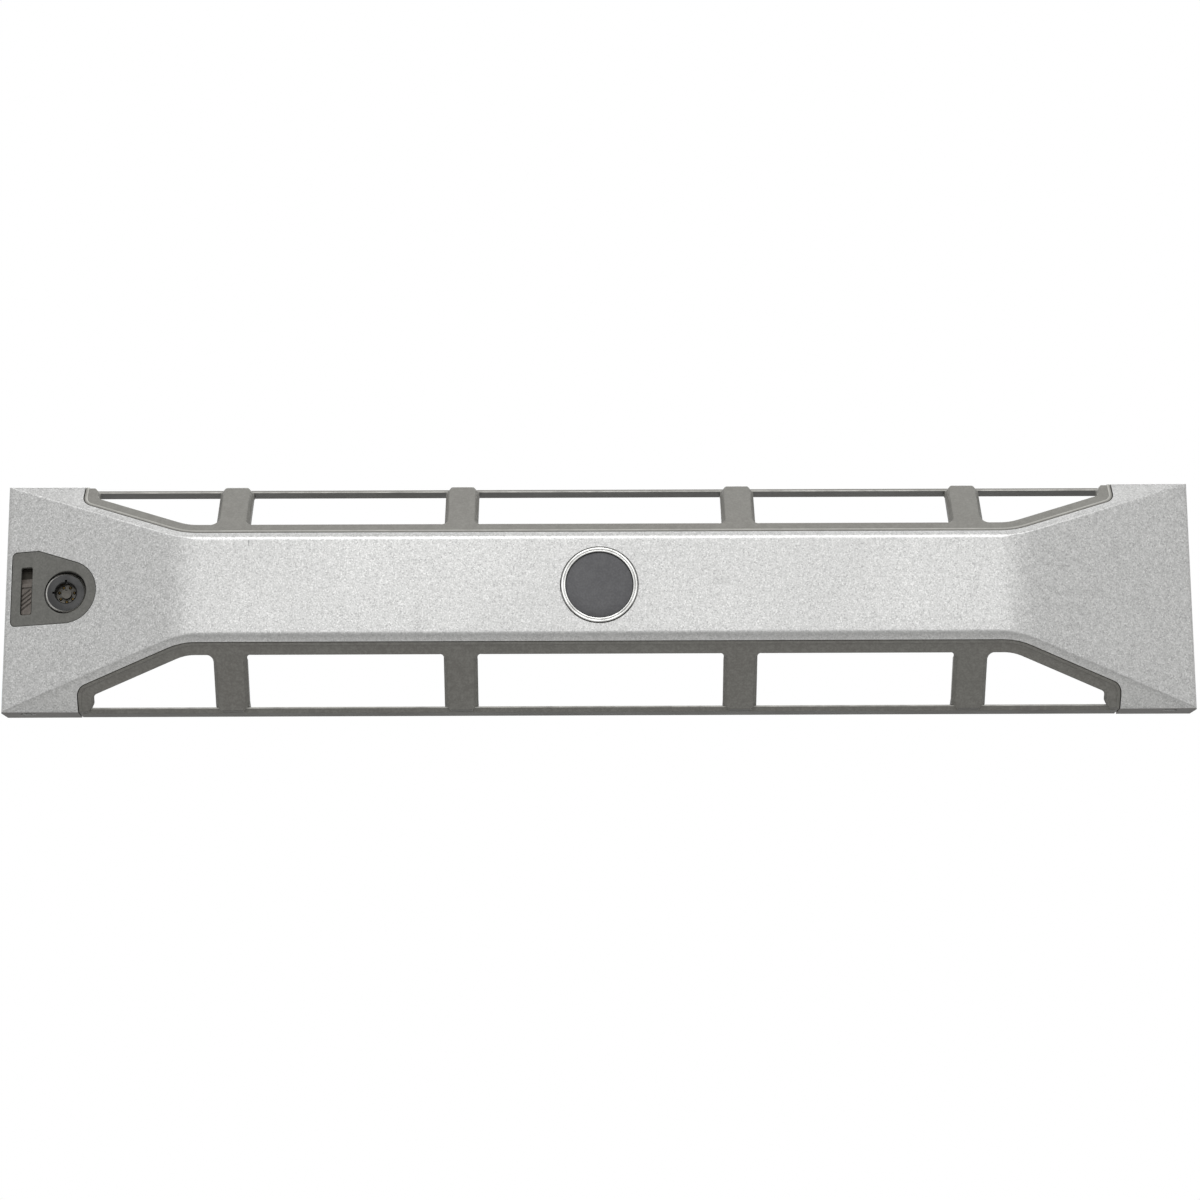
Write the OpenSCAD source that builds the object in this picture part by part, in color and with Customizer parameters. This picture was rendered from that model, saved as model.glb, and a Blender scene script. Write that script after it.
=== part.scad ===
// Lockable front bezel for a two-unit rack server: a silver shell whose flat centre band flares
// into full-height ends, a moulded frame with ten open windows, a round badge, and a key lock
// and lift-up release latch at the left end.
// X runs to the right as seen from the front, the front faces -Y, Z is up.
// The origin is the centre of the rear plane. Units are millimetres.

/* [Body] */
// Overall width
body_w = 446; // [436:1:456]
// Overall height
body_h = 86.8; // [84:0.2:88]
// Overall depth, rear plane to centre band
body_d = 30; // [29:0.5:34]
// Depth of the side, top and bottom faces
edge_d = 10; // [9.5:0.5:12]
// Wall thickness of the silver shell
wall = 2; // [1.8:0.1:2.2]
// How much each side face leans inward towards the rear
side_draft = 1.2; // [0.6:0.2:2]

/* [Centre band] */
// Half height of the flat band, up to its sharp crease
band_half = 18.3; // [17.6:0.1:19]
// Rounding along the top and bottom edges of the band
band_round = 3; // [2:0.5:4]
// How far the shell wraps onto the slopes, measured along the slope
wrap_w = 3.1; // [2.6:0.1:3.6]
// Distance from each end to the bend between band and end face
bend_inset = 68; // [64:1:72]
// Radius of that bend
bend_round = 50; // [30:5:60]
// Distance from each end to the vertical edge of the window frame
end_w = 29; // [28:0.5:31]

/* [Windows] */
// Wall thickness of the window frame
frame_wall = 2.4; // [2:0.1:2.6]
// How far the window frame lies below the slopes of the shell
frame_recess = 0.2; // [0.1:0.05:0.4]
// Gap between shell and window frame
seam = 0.25; // [0.15:0.05:0.4]
// Width of the dark strip between band and windows, measured along the slope
strip_w = 5.2; // [4.6:0.1:5.8]
// Centre of the inner bars
inner_bar_x = 51.5; // [46:0.5:58]
// Distance from each end to the centre of the outer bars
outer_bar_inset = 86.5; // [84:0.5:91]
// Width of a bar
bar_w = 12.5; // [10:0.5:13.5]
// Height of a rail
rail_h = 1.15; // [1:0.05:1.6]
// Depth of a rail
rail_d = 8.2; // [7:0.1:9]
// Corner radius of the windows
window_round = 1.6; // [1:0.2:2.4]

/* [Badge] */
// Outer radius of the badge ring
badge_r = 14.2; // [12.5:0.1:14.6]
// Visible width of the badge ring
badge_ring_w = 1.7; // [1.3:0.1:2.2]
// How far the badge ring stands out of the band
badge_proud = 0.5; // [0.3:0.1:1]

/* [Key lock] */
// Distance from the left end to the lock axis
lock_inset = 23.8; // [23.4:0.1:24.2]
// Height of the lock axis above mid height
lock_z = 1; // [0:0.5:2]
// Radius of the lock head
lock_head_r = 7.5; // [7.1:0.1:7.7]
// Radius of the threaded lock body
lock_body_r = 6; // [5.7:0.1:6.2]
// Radius of the round keyway
keyway_r = 3.85; // [3.6:0.05:4]
// Reach of the cam lever from the lock axis
cam_reach = 11.5; // [10:0.5:11.5]

/* [Release latch] */
// Distance from the left end to the centre of the slider slot
slot_inset = 8.5; // [8.3:0.1:8.7]
// Width of the slider slot
slot_w = 4.5; // [4.2:0.1:4.8]
// Height of the slider
slider_h = 12; // [11:0.5:12.5]
// Lift of the release latch
latch_lift = 5.5; // [4.5:0.5:5.5]
// Thickness of the latch plate, the hook bracket and the guides
plate_t = 1.2; // [1:0.1:1.3]

/* [Fasteners] */
// Shank radius of the frame, guide and hook screws
screw_r = 1.35; // [1.2:0.05:1.4]
// Head radius of the frame, guide and hook screws
screw_head_r = 2.6; // [2.4:0.1:2.8]
// Shank radius of the slider screws
small_screw_r = 0.9; // [0.8:0.05:1]

/* [Hidden] */
$fn = 64;

big = 60; // reach of a cut that goes right through
over = 5; // how far an outline runs past the body
eps = 0.01; // overlap that keeps two joined shapes one
lap = 0.4; // how far a rib, boss or wall runs into what carries it
clear = 0.3; // clearance around a moving piece
fit = 0.05; // clearance between pieces that are fitted by hand
running = 0.04; // radial clearance of a turning pin

// Slopes above and below the band, and the end faces beside it
half_w = body_w / 2;
half_h = body_h / 2;
bend_x = half_w - bend_inset;
rise = body_d - edge_d;
slope_ratio = rise / (half_h - band_half);
facet_ratio = rise / bend_inset;
slope_norm = norm([1, slope_ratio]);
facet_norm = norm([1, facet_ratio]);
slope_half_angle = atan(slope_ratio) / 2;
facet_half_angle = atan(facet_ratio) / 2;
edge_round = 1.5; // rounding of the outer top and bottom edges
side_round = 2; // rounding of the outer vertical edges
hip_round = 2; // rounding of the crease between slope and end face
return_d = 2.6; // depth of the low walls behind the flared edges
return_t = 1.6;
return_inset = 5; // distance from the bend to the start of those walls
rib_t = 1.4; // stiffening ribs
rib_gap = 2; // space between an end rib and the lock insert
long_rib_z = band_half - 1.8;
long_rib_d = 3;
tool_slot_inset = 10; // centre of the slots in the bottom wall
tool_slot_w = 5;
tool_slot_d = 2.8;
tool_slot_front = 1.6;

// Line in the front view where the shell ends and the window frame starts
hip_ratio = facet_ratio / slope_ratio; // climb of the crease between slope and end face
hip_norm = norm([1, hip_ratio]);
hip_stretch = norm([1, hip_ratio * slope_norm]) / slope_norm; // sloping strip width to height
frame_end_round = 4.5;
frame_bend_round = 30;

// Window frame
strip_z = band_half + (wrap_w + strip_w) / slope_norm;
strip_hip_z = band_half + (wrap_w + strip_w) * hip_stretch;
rail_inset = 1; // rails stand back from the ends of the bars
rail_z = half_h - rail_inset - rail_h;
outer_bar_x = half_w - outer_bar_inset;
bar_round = 1.6; // corners at the outer ends of bars and end posts
end_post_w = 6;
end_window_x = half_w - end_w - end_post_w; // outer edge of the end windows
end_window_round = 20;
end_wall_t = 1.6;
bar_flange_w = 1.4;
bar_flange_d = 2.4;
web_t = 2.2;
web_y = slope_y(band_half + wrap_w / slope_norm, wall) + lap;
web_half = bend_x - 7;
web_z = strip_z - 1.4;

// Fasteners
screw_head_h = 1.7;
screw_length = 4.4;
screw_hole_r = screw_r + 0.25;
boss_r = 3.3;
boss_floor = 0.3; // space below the tip of a screw
frame_screw_inset = 20; // from the bend to the outer screws
frame_screw_x = [-1, -1 / 3, 1 / 3, 1] * (bend_x - frame_screw_inset);
frame_screw_z = band_half - 6.3;
frame_screw_length = 4.2;

// Badge
badge_pocket = 1.4;
badge_gap = 0.35;
badge_floor_y = -body_d + badge_pocket;
badge_cup_y = -body_d + wall + 1.6;
badge_base_h = 0.7;
badge_lip = 0.75; // width of the ring beside the disc's base
badge_sink = 0.55; // depth of the disc's face below the ring
badge_cup_r = badge_r + 2;
badge_ring_round = 0.5;
stem_r = 2.8;
stem_play = 0.2;
stem_end = 3; // reach of the stem behind the cup
clip_t = 0.8;
clip_r = 7;
clip_cut_w = 0.6;
clip_cut_r = stem_r + 2;

// Lock, named from the front to the rear
lock_x = -half_w + lock_inset;
lock_sink = 1.2; // depth of the lock face below the end face
lock_face_y = facet_y(lock_x, 0) + lock_sink;
lock_head_h = 3.2;
lock_seat_y = lock_face_y + lock_head_h;
lock_floor_t = 1.6;
lock_washer_r = lock_body_r + 2.6;
lock_washer_play = 0.2;
lock_washer_t = 0.7;
lock_nut_t = 2.8;
lock_nut_af = 14.6;
lock_washer_y = lock_seat_y + lock_floor_t;
lock_nut_y = lock_washer_y + lock_washer_t;
lock_body_end_y = lock_nut_y + lock_nut_t + 2.1;
lock_chamfer = 0.6;
recess_r = lock_head_r + 0.65;
cup_r = recess_r + 1.5;
keyway_chamfer = 0.4;
notch_w = 0.8; // notches at the edge of the keyway
notch_d = 1.1;
notch_y = 2.3;
plug_r = 4.56;
keyway_d = 3.2;
collar_w = 0.6; // overlap of the housing's collar in front of the plug
plug_face_y = lock_face_y + keyway_d;
collar_y = plug_face_y + collar_w;
post_r = 1.9;
post_h = 1.5; // height of the centre post above the plug face
post_slot_w = 0.8;
post_slot_z = 1.1;
pin_count = 7;
pin_r = 0.55;
pin_proud = 0.35;
pin_seat_d = 2;
pin_circle_r = (keyway_r + post_r) / 2;
cam_t = 1.3;
cam_y = lock_body_end_y + 0.2;
cam_end_r = 4;
cam_hub_r = 5.6;
tail_r = 3.4;
tail_flat = 2.5; // half the distance across the two flats of the plug's tail
cam_head_r = tail_r + 0.6;
cam_head_h = 1.6;
cam_screw_r = 1.2;
cam_screw_length = 3.6;

// Lock insert
insert_inset = 2.7; // from the end of the body to the straight side
insert_left = -half_w + insert_inset;
insert_r = 11.8;
insert_rise = 16.4; // from the lock axis to the insert's top
insert_bottom = lock_z - insert_r;
insert_top = lock_z + insert_rise;
insert_top_right = lock_x - insert_r + 1;
insert_corner_r = 1.8;
insert_gap = 0.2;
insert_front = 0.15; // depth of the insert's face below the end face
insert_flange = 1.4;
insert_flange_w = 1.8;
insert_rim = 1.6; // inner width of the flange that is left around the slider

// Release slider
slot_x = -half_w + slot_inset;
slot_bottom = -6.7;
slot_top = slot_bottom + slider_h + latch_lift + 2 * clear + 0.2;
slider_bottom = slot_bottom + clear;
slider_w = slot_w - 2 * clear;
slider_face = 0.9; // depth of the slider's face below the end face
slider_flange_half = 3.6;
slider_flange_z = 1.9; // overlap of the slider's flange above and below the slider
slider_flange_in = wall + clear;
slider_flange_out = slider_flange_in + 1.3;
slot_round = 0.8;
cap_h = 1.8; // from the slider's upper end to the straight groove under its lip
groove_count = 4; // slanted grooves below it
groove_pitch = 1.75;
groove_slant = 35;
groove_w = 0.7;
groove_d = 0.5;
foot_half = 2.6; // foot of the slider on the latch plate
foot_inset = 0.5;
slider_mid_z = slider_bottom + slider_h / 2;
slider_screw_z = 3.5; // above and below the middle of the slider
slider_screw_head_r = 1.7;
slider_screw_head_h = 0.9;
slider_screw_bite = 2.6;

// Latch plate, guides and spring
plate_y = facet_y(slot_x - slider_flange_half, slider_flange_out) + clear;
plate_back_y = plate_y + plate_t;
plate_inset = 3.4; // from the end of the body to the plate and the bracket
plate_w = 10;
plate_x0 = -half_w + plate_inset;
plate_x1 = plate_x0 + plate_w;
plate_top = half_h - wall - latch_lift - 1.9;
plate_bottom = -plate_top - 1;
hook_z0 = 16;
hook_h = 10;
hook_depth_y = -0.6; // rear end of the hooks
hook_t = 2.2; // thickness of the hook across its tip
hook_jaw = 2.2; // height of the open jaw
hook_neck = 2.4;
hook_lip = 0.8;
hook_lead = 3;
guide_y = plate_back_y + clear;
guide_h = 7.4;
guide_z1 = half_h - wall - 3.2;
guide_z0 = guide_z1 - guide_h;
guide_half = 2.9;
guide_boss_x = plate_x1 + boss_r + 1.8;
guide_boss_z = [guide_z0 - 7, guide_z1 - boss_r - clear];
spring_r = 1.75;
spring_wire = 0.5;
spring_turns = 6;
spring_length = 13.8;
spring_seat = 0.6; // how far its seats reach past the spring
spring_y = plate_back_y + spring_r + spring_wire / 2 + 0.5;
spring_z1 = guide_z0 - plate_t;
spring_z0 = spring_z1 - spring_length;
tab_z = spring_z0 - plate_t;
tab_half = 2.4;
bracket_w = 17.6;
bracket_half = half_h - 9.4;
hook_boss_x = half_w - plate_inset - bracket_w + 5;
hook_boss_z = [-1, -1 / 3, 1 / 3, 1] * (bracket_half - 5);

// Front of a slope at height z, t below the surface
function slope_y(z, t) = -body_d + slope_ratio * (abs(z) - band_half) + t * slope_norm;

// Front of an end face at x, t below the surface
function facet_y(x, t) = -body_d + facet_ratio * (abs(x) - bend_x) + t * facet_norm;

// Height where the shell ends beside x on the flared part, grown by g
function hip_z(x, g) = band_half + wrap_w * hip_stretch + hip_ratio * (x - bend_x) + g * hip_norm;

function unit(v) = v / norm(v);

// Tangent point on the circle (c, r) seen from p, on the clockwise side of the line c to p
function tangent_point(p, c, r) =
    let (a = atan2(p.y - c.y, p.x - c.x) - acos(r / norm(p - c)))
    c + r * [cos(a), sin(a)];

// The sliver between a corner p and the arc of radius r that rounds it off
module corner_sliver(before, p, after, r) {
    u = unit(before - p);
    v = unit(after - p);
    half = acos(u * v) / 2;
    reach = r / tan(half);
    centre = p + unit(u + v) * r / sin(half);
    difference() {
        polygon([p - (u + v) * eps, p + u * reach, centre, p + v * reach]);
        translate(centre) circle(r = r);
    }
}

// A counterclockwise outline whose corners get true arcs; a radius of 0 stays sharp
module rounded_outline(pts, radii) {
    n = len(pts);
    turns = [for (i = [0:n - 1]) cross(pts[i] - pts[(i + n - 1) % n], pts[(i + 1) % n] - pts[i])];
    difference() {
        union() {
            polygon(pts);
            for (i = [0:n - 1])
                if (radii[i] > 0 && turns[i] < 0)
                    corner_sliver(pts[(i + n - 1) % n], pts[i], pts[(i + 1) % n], radii[i]);
        }
        for (i = [0:n - 1])
            if (radii[i] > 0 && turns[i] > 0)
                corner_sliver(pts[(i + n - 1) % n], pts[i], pts[(i + 1) % n], radii[i]);
    }
}

// Extrudes an outline drawn in (y, z) along X
module along_x(x0, x1) {
    translate([x0, 0, 0]) rotate([90, 0, 90]) linear_extrude(x1 - x0) children();
}

// Extrudes an outline drawn in (x, z) along Y
module along_y(y0, y1) {
    translate([0, y1, 0]) rotate([90, 0, 0]) linear_extrude(y1 - y0) children();
}

// A cylinder along Y from y0 to y1
module rod_y(x, z, y0, y1, r) {
    translate([x, y1, z]) rotate([90, 0, 0]) cylinder(r = r, h = y1 - y0);
}

// A block between two corners
module block(a, b) {
    translate(a) cube(b - a);
}

// Cross section of the bezel, t below its surface, up to the plane y = rear
module section_outline(t, rear) {
    crease_z = band_half - t * tan(slope_half_angle);
    top_z = half_h - t;
    top_y = slope_y(top_z, t);
    top_r = max(edge_round - t, 0);
    crease_r = max(band_round - t, 0);
    rounded_outline(
        [[rear, -top_z], [rear, top_z], [top_y, top_z],
            [-body_d + t, crease_z], [-body_d + t, -crease_z], [top_y, -top_z]],
        [0, 0, top_r, crease_r, crease_r, top_r]);
}

// Mirrors its children to the other end as well
module both_ends() {
    children();
    mirror([1, 0, 0]) children();
}

// Plan of the bezel, t inside its surface, up to the plane y = rear
module plan_outline(t, rear) {
    crease_x = bend_x - t * tan(facet_half_angle);
    side_x = half_w - t;
    side_y = facet_y(side_x, t);
    rounded_outline(
        [[side_x - side_draft, rear], [-side_x + side_draft, rear], [-side_x, side_y],
            [-crease_x, -body_d + t], [crease_x, -body_d + t], [side_x, side_y]],
        [0, 0, max(side_round - t, 0), bend_round - t, bend_round - t, max(side_round - t, 0)]);
}

// The solid body of the bezel, t below its surface: a four-sided roof with a flat band on top
module hipped_body(t, rear) {
    intersection() {
        along_x(-half_w - eps, half_w + eps) section_outline(t, rear);
        translate([0, 0, -big]) linear_extrude(2 * big) plan_outline(t, rear);
    }
}

// What rounds off the crease between the upper slope and the right end face
module hip_sliver() {
    along = unit([1, facet_ratio, hip_ratio]);
    up_slope = unit(cross(along, [0, -1, slope_ratio]));
    inward = cross(up_slope, along);
    on_facet = unit(cross([facet_ratio, -1, 0], along));
    start = [bend_x, -body_d, band_half];
    multmatrix([
            [up_slope.x, inward.x, along.x, start.x],
            [up_slope.y, inward.y, along.y, start.y],
            [up_slope.z, inward.z, along.z, start.z]])
        linear_extrude(bend_inset * norm([1, facet_ratio, hip_ratio]) + over)
            corner_sliver([1, 0], [0, 0], [on_facet * up_slope, on_facet * inward], hip_round);
}

// Front view of the shell: a band that flares into full-height ends, grown by g
module shell_outline(g) {
    far_x = half_w + over;
    far_z = half_h + over;
    end_x = half_w - end_w - g;
    band_z = band_half + wrap_w / slope_norm + g;
    meet_x = bend_x + (band_z - hip_z(bend_x, g)) / hip_ratio;
    corner_z = hip_z(end_x, g);
    end_r = frame_end_round - g;
    bend_r = frame_bend_round - g;
    rounded_outline(
        [[far_x, -far_z], [far_x, far_z], [end_x, far_z], [end_x, corner_z], [meet_x, band_z],
            [-meet_x, band_z], [-end_x, corner_z], [-end_x, far_z], [-far_x, far_z],
            [-far_x, -far_z], [-end_x, -far_z], [-end_x, -corner_z], [-meet_x, -band_z],
            [meet_x, -band_z], [end_x, -corner_z], [end_x, -far_z]],
        [0, 0, 0, end_r, bend_r, bend_r, end_r, 0, 0, 0, 0, end_r, bend_r, bend_r, end_r, 0]);
}

// The space between two depths below one end face; side is -1 for the left end, 1 for the right
module facet_layer(side, t0, t1) {
    x0 = bend_x;
    x1 = half_w - wall - 0.2;
    translate([0, 0, -big]) linear_extrude(2 * big)
        polygon([[side * x0, facet_y(x0, t0)], [side * x1, facet_y(x1, t0)],
            [side * x1, facet_y(x1, t1)], [side * x0, facet_y(x0, t1)]]);
}

// D-shaped front view of the lock insert, grown by g
module insert_outline(g) {
    centre = [lock_x, lock_z];
    r = insert_r + g;
    top = [insert_top_right, insert_top + g];
    corner_r = max(insert_corner_r + g, 0.4);
    union() {
        translate(centre) circle(r = r);
        rounded_outline(
            [[insert_left - g, insert_bottom - g], [lock_x, insert_bottom - g], centre,
                tangent_point(top, centre, r), top, [insert_left - g, insert_top + g]],
            [corner_r, 0, 0, 0, 0, corner_r]);
    }
}

// A screw boss inside the shell with its mouth at y
module shell_boss(x, z, y, length) {
    difference() {
        intersection() {
            rod_y(x, z, -body_d, y, boss_r);
            hipped_body(wall / 2, 1);
        }
        rod_y(x, z, y - length - boss_floor, y + 1, screw_r + fit);
    }
}

// A pan-head screw driven forward: its head sits on the plane y, its shank runs towards -Y
module screw(x, z, y, r, head_r, head_h, length) {
    slot = 0.28 * head_r; // cross recess
    difference() {
        union() {
            rod_y(x, z, y - length, y + eps, r);
            translate([x, y, z]) rotate([-90, 0, 0]) rotate_extrude()
                intersection() {
                    square([head_r, head_h]);
                    translate([0, head_h - 2 * head_r]) circle(r = 2 * head_r);
                }
        }
        for (a = [0, 90])
            translate([x, y + head_h, z]) rotate([0, a, 0])
                cube([4 * slot, head_h, slot], center = true);
    }
}

// Silver shell: skin, stiffening ribs, screw bosses and the badge cup, moulded in one
module front_shell() {
    color("silver") difference() {
        union() {
            intersection() {
                difference() {
                    hipped_body(0, 0);
                    hipped_body(wall, 1);
                }
                along_y(-big, big) shell_outline(0);
            }
            shell_return_walls();
            shell_ribs();
            shell_bosses();
            rod_y(0, 0, badge_floor_y - lap, badge_cup_y, badge_cup_r);
        }
        rod_y(0, 0, -body_d - 1, badge_floor_y, badge_r + badge_gap);
        rod_y(0, 0, -body_d - 1, badge_cup_y + 1, stem_r + stem_play);
        along_y(-big, big) insert_outline(insert_gap);
        both_ends() {
            tool_slot();
            hip_sliver();
            mirror([0, 0, 1]) hip_sliver();
        }
    }
}

// Narrow slot through the bottom wall near each end
module tool_slot() {
    x = half_w - tool_slot_inset;
    y = -edge_d + tool_slot_front;
    block([x - tool_slot_w / 2, y, -half_h - 1],
        [x + tool_slot_w / 2, y + tool_slot_d, -half_h + wall + lap]);
}

// Low walls behind the flared edges of the shell
module shell_return_walls() {
    intersection() {
        difference() {
            hipped_body(wall / 2, 0);
            hipped_body(wall + return_d, 1);
        }
        along_y(-big, big) difference() {
            shell_outline(0);
            shell_outline(-return_t);
        }
        both_ends()
            block([bend_x + return_inset, -big, -big], [half_w - wall / 2, big, big]);
    }
}

// Upright ribs in the ends and long ribs behind the band
module shell_ribs() {
    rib_x = -lock_x - insert_r - insert_flange_w - rib_gap - rib_t;
    intersection() {
        union() {
            both_ends() block([rib_x, -big, -big], [rib_x + rib_t, -edge_d / 2, big]);
            for (z = [-long_rib_z, long_rib_z])
                block([-web_half, web_y - long_rib_d - 0.5, z - rib_t / 2],
                    [web_half, web_y - 0.5, z + rib_t / 2]);
        }
        hipped_body(wall / 2, 0);
        along_y(-big, big) shell_outline(-return_t / 2);
    }
}

// Bosses for the frame screws, the latch guides and the hook bracket
module shell_bosses() {
    for (x = frame_screw_x, z = [-frame_screw_z, frame_screw_z])
        shell_boss(x, z, web_y, frame_screw_length - web_t);
    for (z = guide_boss_z, side = [-1, 1])
        shell_boss(guide_boss_x, side * z, guide_y, screw_length - plate_t);
    for (z = hook_boss_z)
        shell_boss(hook_boss_x, z, plate_y, screw_length - plate_t);
}

// Front view of one window above the band, open towards the rail
module window_outline(i) {
    far_z = half_h + over;
    inner_edge = inner_bar_x - bar_w / 2;
    next_edge = inner_bar_x + bar_w / 2;
    far_edge = outer_bar_x - bar_w / 2;
    end_edge = outer_bar_x + bar_w / 2;
    r = window_round;
    if (i == 0)
        rounded_outline(
            [[-inner_edge, strip_z], [inner_edge, strip_z], [inner_edge, far_z], [-inner_edge, far_z]],
            [r, r, 0, 0]);
    if (i == 1)
        rounded_outline(
            [[next_edge, strip_z], [far_edge, strip_z], [far_edge, far_z], [next_edge, far_z]],
            [r, r, 0, 0]);
    if (i == 2)
        rounded_outline(
            [[end_edge, strip_z], [bend_x + (strip_z - strip_hip_z) / hip_ratio, strip_z],
                [end_window_x, strip_hip_z + hip_ratio * (end_window_x - bend_x)],
                [end_window_x, far_z], [end_edge, far_z]],
            [r, end_window_round, 0, 0, 0]);
}

// All five windows of the upper row, with the rounded ends of the bars between them
module window_row() {
    window_outline(0);
    both_ends() {
        for (i = [1, 2]) window_outline(i);
        for (x = [inner_bar_x, outer_bar_x]) post_corners(x - bar_w / 2, x + bar_w / 2);
        post_corners(end_window_x, half_w - end_w - seam);
    }
}

// Slivers at both corners of a bar's outer end
module post_corners(x0, x1) {
    mid = [(x0 + x1) / 2, half_h];
    corner_sliver([x0, 0], [x0, half_h], mid, bar_round);
    corner_sliver(mid, [x1, half_h], [x1, 0], bar_round);
}

// The slopes between two depths, over the width of the window frame
module frame_layer(t0, t1, rear) {
    end_x = half_w - end_w - seam;
    difference() {
        along_x(-end_x, end_x) section_outline(t0, 0);
        along_x(-end_x - 1, end_x + 1) section_outline(t1, rear);
    }
}

// Dark frame behind the shell: slopes with windows, bars, rails and the web behind the band
module window_frame() {
    end_x = half_w - end_w - seam;
    t1 = frame_recess + frame_wall;
    color("dimgray") union() {
        intersection() {
            frame_layer(frame_recess, t1, 1);
            along_y(-big, big) difference() {
                square([2 * end_x, 2 * big], center = true);
                shell_outline(seam);
                window_row();
                mirror([0, 1, 0]) window_row();
            }
        }
        for (z = [rail_z, -rail_z - rail_h])
            block([-end_x + lap, -rail_d, z], [end_x - lap, 0, z + rail_h]);
        both_ends() {
            frame_end_wall(end_x, t1);
            for (x = [inner_bar_x, outer_bar_x]) bar_flanges(x, t1);
        }
        frame_web();
    }
}

// Wall that runs back at each end of the frame
module frame_end_wall(end_x, t1) {
    z0 = hip_z(end_x, seam);
    intersection() {
        along_x(end_x - end_wall_t, end_x) section_outline(t1 - lap, 0);
        for (z = [-half_h, z0])
            block([end_x - end_wall_t, -body_d, z], [end_x, 0, z + half_h - z0]);
        along_y(-big, big) difference() {
            square([2 * half_w, body_h], center = true);
            shell_outline(seam);
        }
    }
}

// Two stiffening flanges behind a bar
module bar_flanges(x, t1) {
    intersection() {
        difference() {
            along_x(x - bar_w / 2, x + bar_w / 2) section_outline(t1 - lap, 0);
            along_x(x - bar_w, x + bar_w) section_outline(t1 + bar_flange_d, 1);
        }
        for (x0 = [x - bar_w / 2, x + bar_w / 2 - bar_flange_w], z0 = [-half_h, strip_z])
            block([x0, -body_d, z0], [x0 + bar_flange_w, 0, z0 + half_h - strip_z]);
    }
}

// Flat web behind the band, with screw holes and an opening for the badge clip
module frame_web() {
    difference() {
        block([-web_half, web_y, -web_z], [web_half, web_y + web_t, web_z]);
        for (x = frame_screw_x, z = [-frame_screw_z, frame_screw_z])
            rod_y(x, z, web_y - 1, web_y + web_t + 1, screw_hole_r);
        rod_y(0, 0, web_y - 1, web_y + web_t + 1, clip_r + 2);
    }
}

// Screws that hold the window frame to the shell
module frame_screws() {
    color("gainsboro") for (x = frame_screw_x, z = [-frame_screw_z, frame_screw_z])
        screw(x, z, web_y + web_t, screw_r, screw_head_r, screw_head_h, frame_screw_length);
}

// Bright ring around the badge, stepped inside so that the disc's base holds it
module badge_ring() {
    inner_r = badge_r - badge_ring_w;
    step_r = badge_r - badge_lip;
    top = badge_pocket + badge_proud;
    color("whitesmoke") translate([0, badge_floor_y, 0]) rotate([90, 0, 0]) rotate_extrude()
        difference() {
            rounded_outline(
                [[inner_r, badge_base_h + fit], [step_r, badge_base_h + fit], [step_r, 0],
                    [badge_r, 0], [badge_r, top], [inner_r, top]],
                [0, 0, 0, 0, badge_ring_round, badge_ring_round * 0.6]);
        }
}

// Blank badge disc with a thin base under the ring and a stem through the shell
module badge_disc() {
    face_r = badge_r - badge_ring_w - fit;
    base_r = badge_r - badge_lip - fit;
    face_h = badge_pocket + badge_proud - badge_sink;
    color("gray") union() {
        rod_y(0, 0, badge_floor_y - badge_base_h, badge_floor_y, base_r);
        rod_y(0, 0, badge_floor_y - face_h, badge_floor_y - badge_base_h + eps, face_r);
        rod_y(0, 0, badge_floor_y - eps, badge_cup_y + stem_end, stem_r);
    }
}

// Push-on clip that holds the badge stem
module badge_clip() {
    color("lightsteelblue") difference() {
        rod_y(0, 0, badge_cup_y, badge_cup_y + clip_t, clip_r);
        rod_y(0, 0, badge_cup_y - 1, badge_cup_y + clip_t + 1, stem_r);
        for (a = [0:45:315]) rotate([0, a, 0])
            block([stem_r - lap, badge_cup_y - 1, -clip_cut_w / 2],
                [clip_cut_r, badge_cup_y + clip_t + 1, clip_cut_w / 2]);
    }
}

// D-shaped insert: face plate, flange behind the shell, slider slot and cup for the lock
module lock_insert() {
    color("dimgray") difference() {
        union() {
            intersection() {
                facet_layer(-1, insert_front, wall + insert_flange);
                along_y(-big, big) insert_outline(0);
            }
            intersection() {
                facet_layer(-1, wall, wall + insert_flange);
                along_y(-big, big) insert_outline(insert_flange_w);
            }
            intersection() {
                rod_y(lock_x, lock_z, -body_d, lock_seat_y + lock_floor_t, cup_r);
                facet_layer(-1, wall - lap, big);
            }
        }
        intersection() {
            facet_layer(-1, wall, big);
            along_y(-big, big) difference() {
                insert_outline(-insert_rim);
                translate([lock_x, lock_z]) circle(r = cup_r);
            }
        }
        rod_y(lock_x, lock_z, -body_d, lock_seat_y, recess_r);
        rod_y(lock_x, lock_z, -body_d, 1, lock_body_r + fit);
        rod_y(lock_x, lock_z, lock_washer_y, 1, cup_r + eps);
        along_y(-big, big) slot_outline(slot_w, slot_bottom, slot_top);
    }
}

// Upright slot with small round corners
module slot_outline(w, z0, z1) {
    x0 = slot_x - w / 2;
    x1 = slot_x + w / 2;
    rounded_outline([[x0, z0], [x1, z0], [x1, z1], [x0, z1]], slot_round * [1, 1, 1, 1]);
}

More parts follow.
